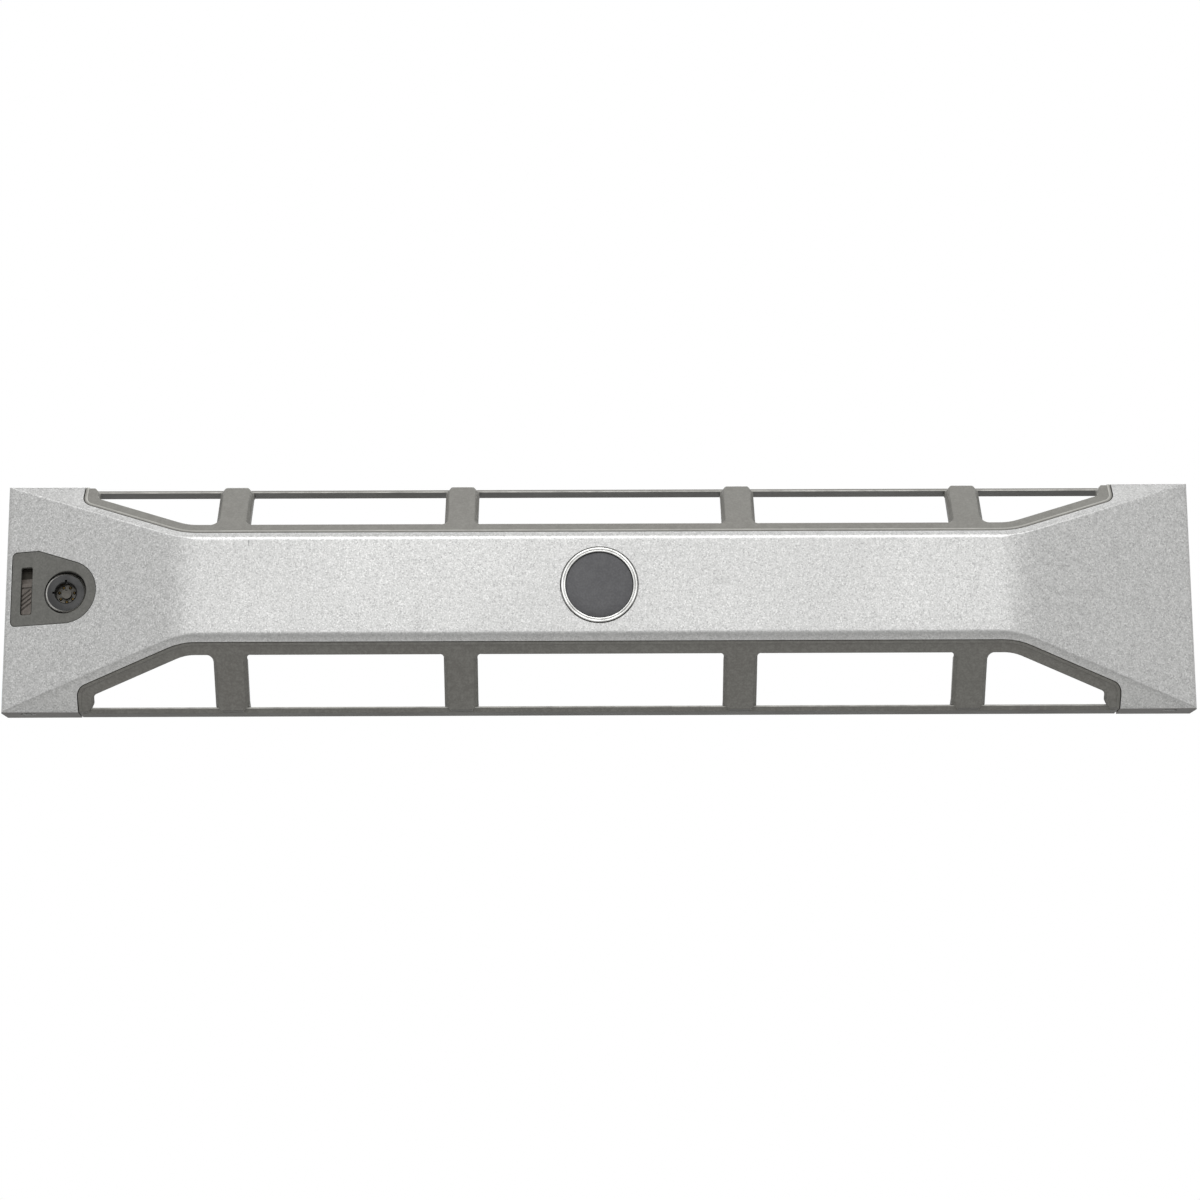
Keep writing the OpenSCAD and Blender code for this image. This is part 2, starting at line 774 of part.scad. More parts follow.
// Fixed lock housing: chamfered head, keyway with two notches, threaded body
module lock_barrel() {
    color("lightslategray") translate([lock_x, lock_face_y, lock_z]) rotate([-90, 0, 0])
        difference() {
            union() {
                cylinder(r1 = lock_head_r - lock_chamfer, r2 = lock_head_r, h = lock_chamfer, $fn = 96);
                translate([0, 0, lock_chamfer - eps])
                    cylinder(r = lock_head_r, h = lock_head_h - lock_chamfer + eps);
                translate([0, 0, lock_head_h - eps])
                    cylinder(r = lock_body_r, h = lock_body_end_y - lock_seat_y + eps);
            }
            translate([0, 0, -1]) cylinder(r = keyway_r, h = lock_head_h + 2);
            translate([0, 0, -eps])
                cylinder(r1 = keyway_r + keyway_chamfer + eps, r2 = keyway_r - eps,
                    h = keyway_chamfer + 2 * eps, $fn = 96);
            translate([0, 0, collar_y - lock_face_y]) cylinder(r = plug_r + running, h = big);
            for (a = [90, 180]) rotate([0, 0, -a])
                translate([0, -notch_w / 2, -1]) cube([keyway_r + notch_d, notch_w, notch_y + 1]);
        }
}

// Flat washer between insert and nut
module lock_washer() {
    color("silver") difference() {
        rod_y(lock_x, lock_z, lock_washer_y, lock_nut_y, lock_washer_r);
        rod_y(lock_x, lock_z, lock_washer_y - 1, lock_nut_y + 1, lock_body_r + lock_washer_play);
    }
}

// Hexagon nut on the lock body
module lock_nut() {
    color("silver") difference() {
        translate([lock_x, lock_nut_y + lock_nut_t, lock_z]) rotate([90, 0, 0])
            cylinder(r = lock_nut_af / sqrt(3), h = lock_nut_t, $fn = 6);
        rod_y(lock_x, lock_z, lock_nut_y - 1, lock_nut_y + lock_nut_t + 1, lock_body_r + 0.02);
    }
}

// Turning plug: centre post, collar in the housing, two-flat tail for the cam
module lock_plug() {
    color("gray") difference() {
        union() {
            rod_y(lock_x, lock_z, plug_face_y - post_h, plug_face_y + eps, post_r);
            rod_y(lock_x, lock_z, plug_face_y, collar_y + 0.1 + eps, keyway_r - running);
            rod_y(lock_x, lock_z, collar_y + 0.1, lock_body_end_y + 0.1, plug_r);
            intersection() {
                rod_y(lock_x, lock_z, lock_body_end_y, cam_y + cam_t - 0.1, tail_r);
                block([lock_x - tail_flat, -big, -big], [lock_x + tail_flat, 0, big]);
            }
        }
        block([lock_x - post_slot_w / 2, -big, lock_z + post_slot_z],
            [lock_x + post_slot_w / 2, plug_face_y, lock_z + big]);
        rod_y(lock_x, lock_z, cam_y + cam_t - cam_screw_length - lap, 0, cam_screw_r + 0.02);
        for (a = [0:pin_count - 1]) pin_rod(a, fit);
    }
}

// One pin of the ring around the centre post
module pin_rod(i, grow) {
    a = 90 + (i + 0.5) * 360 / pin_count;
    rod_y(lock_x + pin_circle_r * cos(a), lock_z + pin_circle_r * sin(a),
        plug_face_y - pin_proud - grow, plug_face_y + pin_seat_d, pin_r + grow);
}

// Brass pins around the centre post
module lock_pins() {
    color("goldenrod") for (i = [0:pin_count - 1]) pin_rod(i, 0);
}

// Cam lever on the tail of the plug
module lock_cam() {
    tip_z = lock_z - cam_reach + cam_end_r;
    color("silver") difference() {
        union() {
            rod_y(lock_x, lock_z, cam_y, cam_y + cam_t, cam_hub_r);
            block([lock_x - cam_end_r, cam_y, tip_z], [lock_x + cam_end_r, cam_y + cam_t, lock_z]);
            rod_y(lock_x, tip_z, cam_y, cam_y + cam_t, cam_end_r);
        }
        intersection() {
            rod_y(lock_x, lock_z, cam_y - 1, cam_y + cam_t + 1, tail_r + fit);
            block([lock_x - tail_flat - fit, -big, -big], [lock_x + tail_flat + fit, 0, big]);
        }
    }
}

// Screw that holds the cam on the plug; its head is wider than the tail
module cam_screw() {
    color("gainsboro")
        screw(lock_x, lock_z, cam_y + cam_t, cam_screw_r, cam_head_r, cam_head_h, cam_screw_length);
}

// Ribbed slider in the slot, with a flange behind the insert and a foot for the latch plate
module release_slider() {
    z0 = slider_bottom;
    z1 = slider_bottom + slider_h;
    color("rosybrown") difference() {
        union() {
            intersection() {
                facet_layer(-1, slider_face, slider_flange_in + eps);
                along_y(-big, big) slot_outline(slider_w, z0, z1);
            }
            intersection() {
                facet_layer(-1, slider_flange_in, slider_flange_out);
                block([slot_x - slider_flange_half, -big, z0 - slider_flange_z],
                    [slot_x + slider_flange_half, 0, z1 + slider_flange_z]);
            }
            intersection() {
                facet_layer(-1, slider_flange_in, big);
                block([slot_x - foot_half, -big, z0 + foot_inset],
                    [slot_x + foot_half, plate_y, z1 - foot_inset]);
            }
        }
        slider_groove(z1 - cap_h, 0);
        for (i = [1:groove_count]) slider_groove(z1 - cap_h - i * groove_pitch, groove_slant);
        for (up = [-1, 1])
            rod_y(slot_x, slider_mid_z + up * slider_screw_z,
                plate_y - slider_screw_bite - boss_floor, plate_y + 1, small_screw_r + 0.02);
    }
}

// One groove across the slider's face, rising to the right by the given angle
module slider_groove(z, slant) {
    intersection() {
        facet_layer(-1, slider_face - 1, slider_face + groove_d);
        translate([slot_x, 0, z]) rotate([0, -slant, 0])
            block([-slot_w, -big, -groove_w / 2], [slot_w, 0, groove_w / 2]);
    }
}

// One rearward hook in the (y, z) plane with its jaw open downwards
module hook_outline(z0) {
    y0 = plate_y;
    y1 = plate_back_y + 0.5 * plate_t;
    tip_y = hook_depth_y - hook_t;
    z1 = z0 + hook_h;
    jaw_z = z0 + hook_jaw + hook_neck;
    polygon([[y0, z0], [y1, z0], [y1, jaw_z], [tip_y, jaw_z], [tip_y, z0 + hook_lip],
        [hook_depth_y, z0 + hook_lip], [hook_depth_y, z1 - hook_lead], [tip_y, z1], [y0, z1]]);
}

// Sliding steel plate: two hooks that catch downwards, and a tab that carries the spring
module latch_plate() {
    color("lightsteelblue") difference() {
        union() {
            block([plate_x0, plate_y, plate_bottom], [plate_x1, plate_back_y, plate_top]);
            for (z = [hook_z0, -hook_z0 - hook_h])
                along_x(plate_x0, plate_x0 + plate_t) hook_outline(z);
            block([slot_x - tab_half, plate_y, tab_z],
                [slot_x + tab_half, spring_y + spring_r + spring_seat, tab_z + plate_t]);
        }
        for (up = [-1, 1])
            rod_y(slot_x, slider_mid_z + up * slider_screw_z, plate_y - 1, plate_back_y + 1,
                small_screw_r + 0.15);
    }
}

// Screws that join slider and latch plate
module slider_screws() {
    color("gainsboro") for (up = [-1, 1])
        screw(slot_x, slider_mid_z + up * slider_screw_z, plate_back_y, small_screw_r,
            slider_screw_head_r, slider_screw_head_h, plate_t + slider_screw_bite);
}

// Point on the centre line of the spring wire, u from 0 to 1
function spring_point(u) =
    let (a = 360 * spring_turns * u, z0 = spring_z0 + spring_wire / 2, z1 = spring_z1 - spring_wire / 2)
    [slot_x + spring_r * cos(a), spring_y + spring_r * sin(a), z0 + (z1 - z0) * u];

// Return spring of the latch, a round wire swept along a helix
module latch_spring() {
    sides = 8;
    rings = 12 * spring_turns;
    ring = [for (i = [0:rings], k = [0:sides - 1])
        let (u = i / rings, a = 360 * spring_turns * u, b = 360 * k / sides,
            out = [cos(a), sin(a), 0])
        spring_point(u) + spring_wire / 2 * (cos(b) * out + sin(b) * [0, 0, 1])];
    walls = [for (i = [0:rings - 1], k = [0:sides - 1])
        let (k1 = (k + 1) % sides)
        [i * sides + k, i * sides + k1, (i + 1) * sides + k1, (i + 1) * sides + k]];
    first = [for (k = [sides - 1:-1:0]) k];
    last = [for (k = [0:sides - 1]) rings * sides + k];
    color("gainsboro") polyhedron(ring, concat(walls, [first, last]), convexity = 10);
}

// Bridge over the latch plate, held by two screws beside it
module guide(flange) {
    x0 = slot_x - guide_half;
    x1 = guide_boss_x + boss_r;
    color("lightslategray") difference() {
        union() {
            block([x0, guide_y, guide_z0], [x1, guide_y + plate_t, guide_z1]);
            block([guide_boss_x - boss_r, guide_y, guide_boss_z[0] - boss_r],
                [x1, guide_y + plate_t, guide_z1]);
            if (flange)
                block([x0, guide_y, spring_z1],
                    [slot_x + guide_half, spring_y + spring_r + spring_seat, spring_z1 + plate_t]);
        }
        for (z = guide_boss_z)
            rod_y(guide_boss_x, z, guide_y - 1, guide_y + plate_t + 1, screw_hole_r);
    }
}

// Upper guide with the stop for the spring
module upper_guide() {
    guide(true);
}

// Lower guide
module lower_guide() {
    mirror([0, 0, 1]) guide(false);
}

// Screws that hold both guides
module guide_screws() {
    color("gainsboro") for (z = guide_boss_z, side = [-1, 1])
        screw(guide_boss_x, side * z, guide_y + plate_t, screw_r, screw_head_r, screw_head_h, screw_length);
}

// Fixed steel bracket at the right end with two hooks
module hook_bracket() {
    x1 = half_w - plate_inset;
    color("lightsteelblue") difference() {
        union() {
            block([x1 - bracket_w, plate_y, -bracket_half], [x1, plate_back_y, bracket_half]);
            for (z = [hook_z0, -hook_z0 - hook_h])
                along_x(x1 - plate_t, x1) hook_outline(z);
        }
        for (z = hook_boss_z)
            rod_y(hook_boss_x, z, plate_y - 1, plate_back_y + 1, screw_hole_r);
    }
}

// Screws that hold the hook bracket
module hook_screws() {
    color("gainsboro") for (z = hook_boss_z)
        screw(hook_boss_x, z, plate_back_y, screw_r, screw_head_r, screw_head_h, screw_length);
}

front_shell();
window_frame();
frame_screws();
badge_ring();
badge_disc();
badge_clip();
lock_insert();
lock_barrel();
lock_washer();
lock_nut();
lock_plug();
lock_pins();
lock_cam();
cam_screw();
release_slider();
latch_plate();
slider_screws();
latch_spring();
upper_guide();
lower_guide();
guide_screws();
hook_bracket();
hook_screws();
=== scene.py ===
"""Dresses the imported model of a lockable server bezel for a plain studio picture.

The painted shell, the moulded window frame, the badge, the key lock and the release latch
each have a class that builds their surfaces and gives them their finish.
"""
import logging
import math
from dataclasses import dataclass, field
from enum import Enum
from typing import Callable

import bmesh
import bpy
import numpy as np
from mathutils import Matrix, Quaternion, Vector
from mathutils.geometry import delaunay_2d_cdt


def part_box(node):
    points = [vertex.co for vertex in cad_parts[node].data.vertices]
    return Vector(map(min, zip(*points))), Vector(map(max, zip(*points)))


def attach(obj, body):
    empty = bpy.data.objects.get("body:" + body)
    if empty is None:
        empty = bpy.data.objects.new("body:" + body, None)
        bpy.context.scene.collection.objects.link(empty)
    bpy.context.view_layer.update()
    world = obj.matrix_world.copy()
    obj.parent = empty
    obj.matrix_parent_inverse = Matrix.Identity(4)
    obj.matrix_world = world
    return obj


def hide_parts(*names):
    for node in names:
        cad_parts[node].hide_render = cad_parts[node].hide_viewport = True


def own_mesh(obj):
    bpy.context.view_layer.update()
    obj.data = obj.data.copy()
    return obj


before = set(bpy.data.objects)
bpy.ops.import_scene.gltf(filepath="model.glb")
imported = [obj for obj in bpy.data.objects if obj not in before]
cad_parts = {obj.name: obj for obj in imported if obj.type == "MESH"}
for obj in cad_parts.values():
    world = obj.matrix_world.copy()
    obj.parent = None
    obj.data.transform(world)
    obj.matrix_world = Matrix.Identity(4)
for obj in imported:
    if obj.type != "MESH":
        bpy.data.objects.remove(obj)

LOG = logging.getLogger("bezel")
MM = 0.001
TAU = 2.0 * math.pi


class Slot(Enum):
    """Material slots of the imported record."""

    SHELL = "silver_paint"
    FRAME = "frame_plastic"
    INSERT = "insert_plastic"
    SLIDER = "slider_plastic"
    CHROME = "badge_chrome"
    BADGE = "badge_face"
    LOCK_HEAD = "lock_head"
    LOCK_CORE = "lock_core"
    ZINC = "zinc_steel"
    SCREW = "screw_steel"
    SPRING = "spring_steel"
    BRASS = "pin_brass"


class Body(Enum):
    """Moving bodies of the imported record."""

    BEZEL = "bezel"
    CORE = "lock_core"
    LATCH = "latch"


# ---------------------------------------------------------------- shader nodes


class NodeBoard:
    """A thin wrapper that adds and links nodes in one node tree."""

    def __init__(self, tree: bpy.types.NodeTree) -> None:
        """Keeps the tree.

        Args:
            tree: The node tree to work on.
        """
        self.tree = tree

    def add(self, kind: str, inputs: dict | None = None, **settings) -> bpy.types.Node:
        """Adds a node, sets its properties and fills or links its inputs.

        Args:
            kind: Blender's name of the node type.
            inputs: Values or output sockets, by input name or number.
            **settings: Properties of the node.

        Returns:
            The new node.
        """
        node = self.tree.nodes.new(kind)
        for name, value in settings.items():
            setattr(node, name, value)
        for key, value in (inputs or {}).items():
            if isinstance(value, bpy.types.NodeSocket):
                self.tree.links.new(value, node.inputs[key])
            else:
                node.inputs[key].default_value = value
        return node

    def math(self, operation: str, first, second=None, clamp: bool = False):
        """Adds a Math node and returns its output.

        Args:
            operation: Blender's name of the operation.
            first: First operand, a number or a socket.
            second: Second operand, if there is one.
            clamp: Whether the result is held between 0 and 1.

        Returns:
            The output socket.
        """
        inputs = {0: first} if second is None else {0: first, 1: second}
        return self.add("ShaderNodeMath", inputs, operation=operation, use_clamp=clamp).outputs[0]

    def ramp(self, value, low: float, high: float, out_low: float = 0.0, out_high: float = 1.0):
        """Smoothly maps a value from one range to another.

        Args:
            value: The socket to map.
            low: Value that gives out_low.
            high: Value that gives out_high.
            out_low: Result at low.
            out_high: Result at high.

        Returns:
            The output socket.
        """
        node = self.add(
            "ShaderNodeMapRange",
            {0: value, 1: low, 2: high, 3: out_low, 4: out_high},
            interpolation_type="SMOOTHSTEP",
        )
        return node.outputs[0]

    def mix(self, factor, first, second, blend: str = "MIX"):
        """Mixes two colours.

        Args:
            factor: Share of the second colour.
            first: First colour or socket.
            second: Second colour or socket.
            blend: Blender's name of the blend mode.

        Returns:
            The colour socket.
        """
        node = self.add("ShaderNodeMix", data_type="RGBA", blend_type=blend)
        for key, value in ((0, factor), (6, first), (7, second)):
            if isinstance(value, bpy.types.NodeSocket):
                self.tree.links.new(value, node.inputs[key])
            else:
                node.inputs[key].default_value = value
        return node.outputs[2]

    def noise(self, vector, scale: float, detail: float = 2.0, rough: float = 0.5):
        """Adds a noise texture and returns its value.

        Args:
            vector: Coordinates.
            scale: Waves per metre.
            detail: Number of finer octaves.
            rough: Strength of the finer octaves.

        Returns:
            The output socket, from 0 to 1.
        """
        node = self.add(
            "ShaderNodeTexNoise",
            {"Vector": vector, "Scale": scale, "Detail": detail, "Roughness": rough},
        )
        return node.outputs[0]

    def stretch(self, vector, scale: tuple[float, float, float], turn: float = 0.0):
        """Stretches and turns coordinates about the Y axis.

        Args:
            vector: Coordinates.
            scale: Factor along each axis, after the turn.
            turn: Turn about Y in radians.

        Returns:
            The vector socket.
        """
        turned = self.add(
            "ShaderNodeMapping", {"Vector": vector, "Rotation": (0.0, turn, 0.0)}
        ).outputs[0]
        return self.add(
            "ShaderNodeVectorMath", {0: turned, 1: scale}, operation="MULTIPLY"
        ).outputs[0]


class EffectGroup:
    """Base of the shader node groups that several finishes share."""

    name = "effect"
    sockets_in: tuple[tuple[str, str, object], ...] = ()
    sockets_out: tuple[tuple[str, str], ...] = ()

    def __init__(self) -> None:
        """Builds the group once."""
        tree = bpy.data.node_groups.new(self.name, "ShaderNodeTree")
        for label, kind, default in self.sockets_in:
            socket = tree.interface.new_socket(label, in_out="INPUT", socket_type=kind)
            if default is not None:
                socket.default_value = default
        for label, kind in self.sockets_out:
            tree.interface.new_socket(label, in_out="OUTPUT", socket_type=kind)
        self.tree = tree
        board = NodeBoard(tree)
        source = board.add("NodeGroupInput")
        sink = board.add("NodeGroupOutput")
        for label, socket in self.build(board, source.outputs).items():
            tree.links.new(socket, sink.inputs[label])

    def build(self, board: NodeBoard, given) -> dict:
        """Makes the nodes of the group.

        Args:
            board: The group's board.
            given: The group's input values.

        Returns:
            Output sockets by name.
        """
        raise NotImplementedError

    def place(self, board: NodeBoard, **values):
        """Places the group in a material.

        Args:
            board: Board of the material.
            **values: Input values or sockets, with _ for a blank in a name.

        Returns:
            The outputs of the placed group.
        """
        node = board.add("ShaderNodeGroup", node_tree=self.tree)
        for key, value in values.items():
            socket = node.inputs[key.replace("_", " ")]
            if isinstance(value, bpy.types.NodeSocket):
                board.tree.links.new(value, socket)
            else:
                socket.default_value = value
        return node.outputs


FLOAT, VECTOR = "NodeSocketFloat", "NodeSocketVector"


class Grain(EffectGroup):
    """Fine uneven grain: a value round 0.5 and a height, from two sizes of noise."""

    name = "grain"
    sockets_in = (("Position", VECTOR, None), ("Scale", FLOAT, 900.0), ("Coarse", FLOAT, 0.35))
    sockets_out = (("Value", FLOAT), ("Height", FLOAT))

    def build(self, board: NodeBoard, given) -> dict:
        """Mixes fine noise with noise three times as wide.

        Args:
            board: The group's board.
            given: The group's input values.

        Returns:
            Output sockets by name.
        """
        fine = board.noise(given["Position"], given["Scale"], 1.5)
        wide = board.noise(given["Position"], board.math("DIVIDE", given["Scale"], 3.2), 2.0)
        mixed = board.add(
            "ShaderNodeMix", {0: given["Coarse"], 2: fine, 3: wide}, data_type="FLOAT"
        ).outputs[0]
        return {"Value": mixed, "Height": fine}


class Flake(EffectGroup):
    """Metal flakes in paint: single bright and dark cells."""

    name = "flake"
    sockets_in = (("Position", VECTOR, None), ("Scale", FLOAT, 1500.0), ("Share", FLOAT, 0.12))
    sockets_out = (("Bright", FLOAT), ("Dark", FLOAT))

    def build(self, board: NodeBoard, given) -> dict:
        """Takes the cells whose random number lies at either end of its range.

        Args:
            board: The group's board.
            given: The group's input values.

        Returns:
            Output sockets by name.
        """
        cells = board.add(
            "ShaderNodeTexVoronoi", {"Vector": given["Position"], "Scale": given["Scale"]}
        )
        lot = board.add("ShaderNodeSeparateColor", {0: cells.outputs["Color"]}).outputs[0]
        near_one = board.math("SUBTRACT", 1.0, given["Share"])
        bright = board.ramp(lot, near_one, 1.0)
        dark = board.math("SUBTRACT", 1.0, board.ramp(lot, 0.0, given["Share"]))
        return {"Bright": bright, "Dark": dark}


class EdgeWear(EffectGroup):
    """Rubbed outer edges: where a rounded normal leaves the true one, broken up by noise."""

    name = "edge wear"
    sockets_in = (
        ("Position", VECTOR, None),
        ("Radius", FLOAT, 0.0008),
        ("Scale", FLOAT, 300.0),
        ("Amount", FLOAT, 0.5),
    )
    sockets_out = (("Mask", FLOAT),)

    def build(self, board: NodeBoard, given) -> dict:
        """Compares the two normals and multiplies the difference by patchy noise.

        Args:
            board: The group's board.
            given: The group's input values.

        Returns:
            Output sockets by name.
        """
        true = board.add("ShaderNodeNewGeometry").outputs["Normal"]
        soft = board.add("ShaderNodeBevel", {"Radius": given["Radius"]}, samples=6).outputs[0]
        same = board.add(
            "ShaderNodeVectorMath", {0: true, 1: soft}, operation="DOT_PRODUCT"
        ).outputs["Value"]
        edge = board.ramp(board.math("SUBTRACT", 1.0, same), 0.02, 0.16)
        patch = board.noise(given["Position"], given["Scale"], 4.0, 0.65)
        low = board.math("SUBTRACT", 0.8, board.math("MULTIPLY", given["Amount"], 0.6))
        worn = board.ramp(patch, low, board.math("ADD", low, 0.14))
        return {"Mask": board.math("MULTIPLY", edge, worn)}


class Scuffs(EffectGroup):
    """Hair-fine scratches in two directions, gathered in patches."""

    name = "scuffs"
    sockets_in = (("Position", VECTOR, None), ("Scale", FLOAT, 60.0), ("Amount", FLOAT, 0.3))
    sockets_out = (("Mask", FLOAT),)

    def build(self, board: NodeBoard, given) -> dict:
        """Takes thin level lines of stretched noise and keeps them where a patch noise is high.

        Args:
            board: The group's board.
            given: The group's input values.

        Returns:
            Output sockets by name.
        """
        lines = []
        for turn, stretch in ((0.35, (0.06, 1.0, 1.0)), (1.9, (0.08, 1.0, 1.0))):
            place = board.stretch(given["Position"], stretch, turn)
            wave = board.noise(place, board.math("MULTIPLY", given["Scale"], 9.0), 2.0)
            off = board.math("ABSOLUTE", board.math("SUBTRACT", wave, 0.5))
            lines.append(board.math("SUBTRACT", 1.0, board.ramp(off, 0.0, 0.014)))
        line = board.math("MAXIMUM", lines[0], lines[1])
        patch = board.noise(given["Position"], given["Scale"], 2.0)
        low = board.math("SUBTRACT", 0.75, board.math("MULTIPLY", given["Amount"], 0.35))
        kept = board.ramp(patch, low, board.math("ADD", low, 0.12))
        return {"Mask": board.math("MULTIPLY", line, kept)}


class Mark(EffectGroup):
    """One single mark at a place on the front: a short soft stroke."""

    name = "mark"
    sockets_in = (
        ("Position", VECTOR, None),
        ("Centre", VECTOR, None),
        ("Turn", FLOAT, 0.0),
        ("Half Length", FLOAT, 0.003),
        ("Half Width", FLOAT, 0.0004),
        ("Break", FLOAT, 0.4),
    )
    sockets_out = (("Mask", FLOAT),)

    def build(self, board: NodeBoard, given) -> dict:
        """Measures how far a point lies along and across the stroke, both as a share of its size.

        Args:
            board: The group's board.
            given: The group's input values.

        Returns:
            Output sockets by name.
        """
        away = board.add(
            "ShaderNodeVectorMath", {0: given["Position"], 1: given["Centre"]}, operation="SUBTRACT"
        ).outputs[0]
        parts = board.add("ShaderNodeSeparateXYZ", {0: away}).outputs
        cos = board.math("COSINE", given["Turn"])
        sin = board.math("SINE", given["Turn"])
        along = board.math(
            "ADD", board.math("MULTIPLY", parts[0], cos), board.math("MULTIPLY", parts[2], sin)
        )
        across = board.math(
            "SUBTRACT", board.math("MULTIPLY", parts[2], cos), board.math("MULTIPLY", parts[0], sin)
        )
        u = board.math("DIVIDE", along, given["Half Length"])
        v = board.math("DIVIDE", across, given["Half Width"])
        reach = board.math(
            "SQRT", board.math("ADD", board.math("MULTIPLY", u, u), board.math("MULTIPLY", v, v))
        )
        body = board.math("SUBTRACT", 1.0, board.ramp(reach, 0.35, 1.0))
        patch = board.ramp(board.noise(given["Position"], 900.0, 3.0), 0.35, 0.62)
        broken = board.math(
            "ADD",
            board.math("SUBTRACT", 1.0, given["Break"]),
            board.math("MULTIPLY", patch, given["Break"]),
        )
        return {"Mask": board.math("MULTIPLY", body, broken)}


class Cloud(EffectGroup):
    """Slow change of tone over a large surface, such as handling marks and dust."""

    name = "cloud"
    sockets_in = (("Position", VECTOR, None), ("Scale", FLOAT, 18.0))
    sockets_out = (("Value", FLOAT),)

    def build(self, board: NodeBoard, given) -> dict:
        """Adds two sizes of slow noise and spreads the result.

        Args:
            board: The group's board.
            given: The group's input values.

        Returns:
            Output sockets by name.
        """
        slow = board.noise(given["Position"], given["Scale"], 3.0, 0.55)
        return {"Value": board.ramp(slow, 0.3, 0.7)}


class DustAndPaintedShade(EffectGroup):
    """Pale tone on faces that look up, part dust and part painted top light, and painted shade on faces that look
    down.
    """

    name = "dust_and_painted_shade"
    sockets_in = (("Position", VECTOR, None), ("Scale", FLOAT, 240.0))
    sockets_out = (("Dust And Painted Top Light", FLOAT), ("Painted Under Shade", FLOAT))

    def build(self, board: NodeBoard, given) -> dict:
        """Takes the height part of the normal, broken up by patchy noise for the dust and painted top light; the
        painted underside shade is a ramp of the same part.

        Args:
            board: The group's board.
            given: The group's input values.

        Returns:
            Output sockets by name.
        """
        normal = board.add("ShaderNodeNewGeometry").outputs["Normal"]
        up = board.add("ShaderNodeSeparateXYZ", {0: normal}).outputs[2]
        patch = board.noise(given["Position"], given["Scale"], 3.0)
        thick = board.ramp(patch, 0.2, 0.7, 0.75, 1.0)
        dust_and_top_light = board.math("MULTIPLY", board.ramp(up, 0.15, 0.8), thick)
        # The first output is pale dust with painted top light on upward faces, the second painted shade on faces
        # that look straight down.
        return {"Dust And Painted Top Light": dust_and_top_light, "Painted Under Shade": board.ramp(up, -0.8, -0.96)}


class Effects:
    """All shared groups, built once."""

    def __init__(self) -> None:
        """Builds each group."""
        self.grain = Grain()
        self.flake = Flake()
        self.edge = EdgeWear()
        self.scuffs = Scuffs()
        self.mark = Mark()
        self.cloud = Cloud()
        # Pale dust with painted top light, and painted underside shade.
        self.dust_and_painted_shade = DustAndPaintedShade()


Colour = tuple[float, float, float, float]


def tone(red: float, green: float, blue: float) -> Colour:
    """Turns a display colour from 0 to 255 into linear light.

    Args:
        red: Red as displayed.
        green: Green as displayed.
        blue: Blue as displayed.

    Returns:
        The linear colour with full alpha.
    """
    shown = np.array([red, green, blue]) / 255.0
    linear = np.where(shown <= 0.04045, shown / 12.92, ((shown + 0.055) / 1.055) ** 2.4)
    return (float(linear[0]), float(linear[1]), float(linear[2]), 1.0)


@dataclass(frozen=True)
class Finish:
    """Base of all finishes: a name and the values of the shader's own sockets."""

    name: str
    slot: Slot
    base: Colour
    roughness: float = 0.45
    metallic: float = 0.0
    specular: float = 0.5
    edge_radius: float = 0.0003

    def material(self, effects: Effects) -> bpy.types.Material:
        """Makes the material.

        Args:
            effects: Shared node groups.

        Returns:
            The material.
        """
        made = bpy.data.materials.new(self.name)
        made.use_nodes = True
        board = NodeBoard(made.node_tree)
        shader = next(n for n in made.node_tree.nodes if n.type == "BSDF_PRINCIPLED")
        shader.inputs["Base Color"].default_value = self.base
        shader.inputs["Roughness"].default_value = self.roughness
        shader.inputs["Metallic"].default_value = self.metallic
        shader.inputs["Specular IOR Level"].default_value = self.specular
        place = board.add("ShaderNodeTexCoord").outputs["Object"]
        self.dress(board, shader, place, effects)
        return made

    def dress(self, board: NodeBoard, shader, place, effects: Effects) -> None:
        """Adds the finish's own nodes.

        Args:
            board: Board of the material.
            shader: The Principled shader.
            place: Object coordinates.
            effects: Shared node groups.
        """
        raise NotImplementedError

    def relief(self, board: NodeBoard, shader, height, depth: float) -> None:
        """Feeds a height and softened edges into the shader's normal.

        Args:
            board: Board of the material.
            shader: The Principled shader.
            height: Height socket from 0 to 1.
            depth: Depth of the relief in metres.
        """
        soft = board.add("ShaderNodeBevel", {"Radius": self.edge_radius}, samples=6).outputs[0]
        bump = board.add(
            "ShaderNodeBump",
            {"Strength": 1.0, "Distance": depth, "Height": height, "Normal": soft},
        ).outputs[0]
        board.tree.links.new(bump, shader.inputs["Normal"])


@dataclass(frozen=True)
class StrokeMark:
    """One mark on the painted front, in metres."""

    x: float
    z: float
    turn: float
    half_length: float
    half_width: float
    strength: float
    broken: float = 0.5


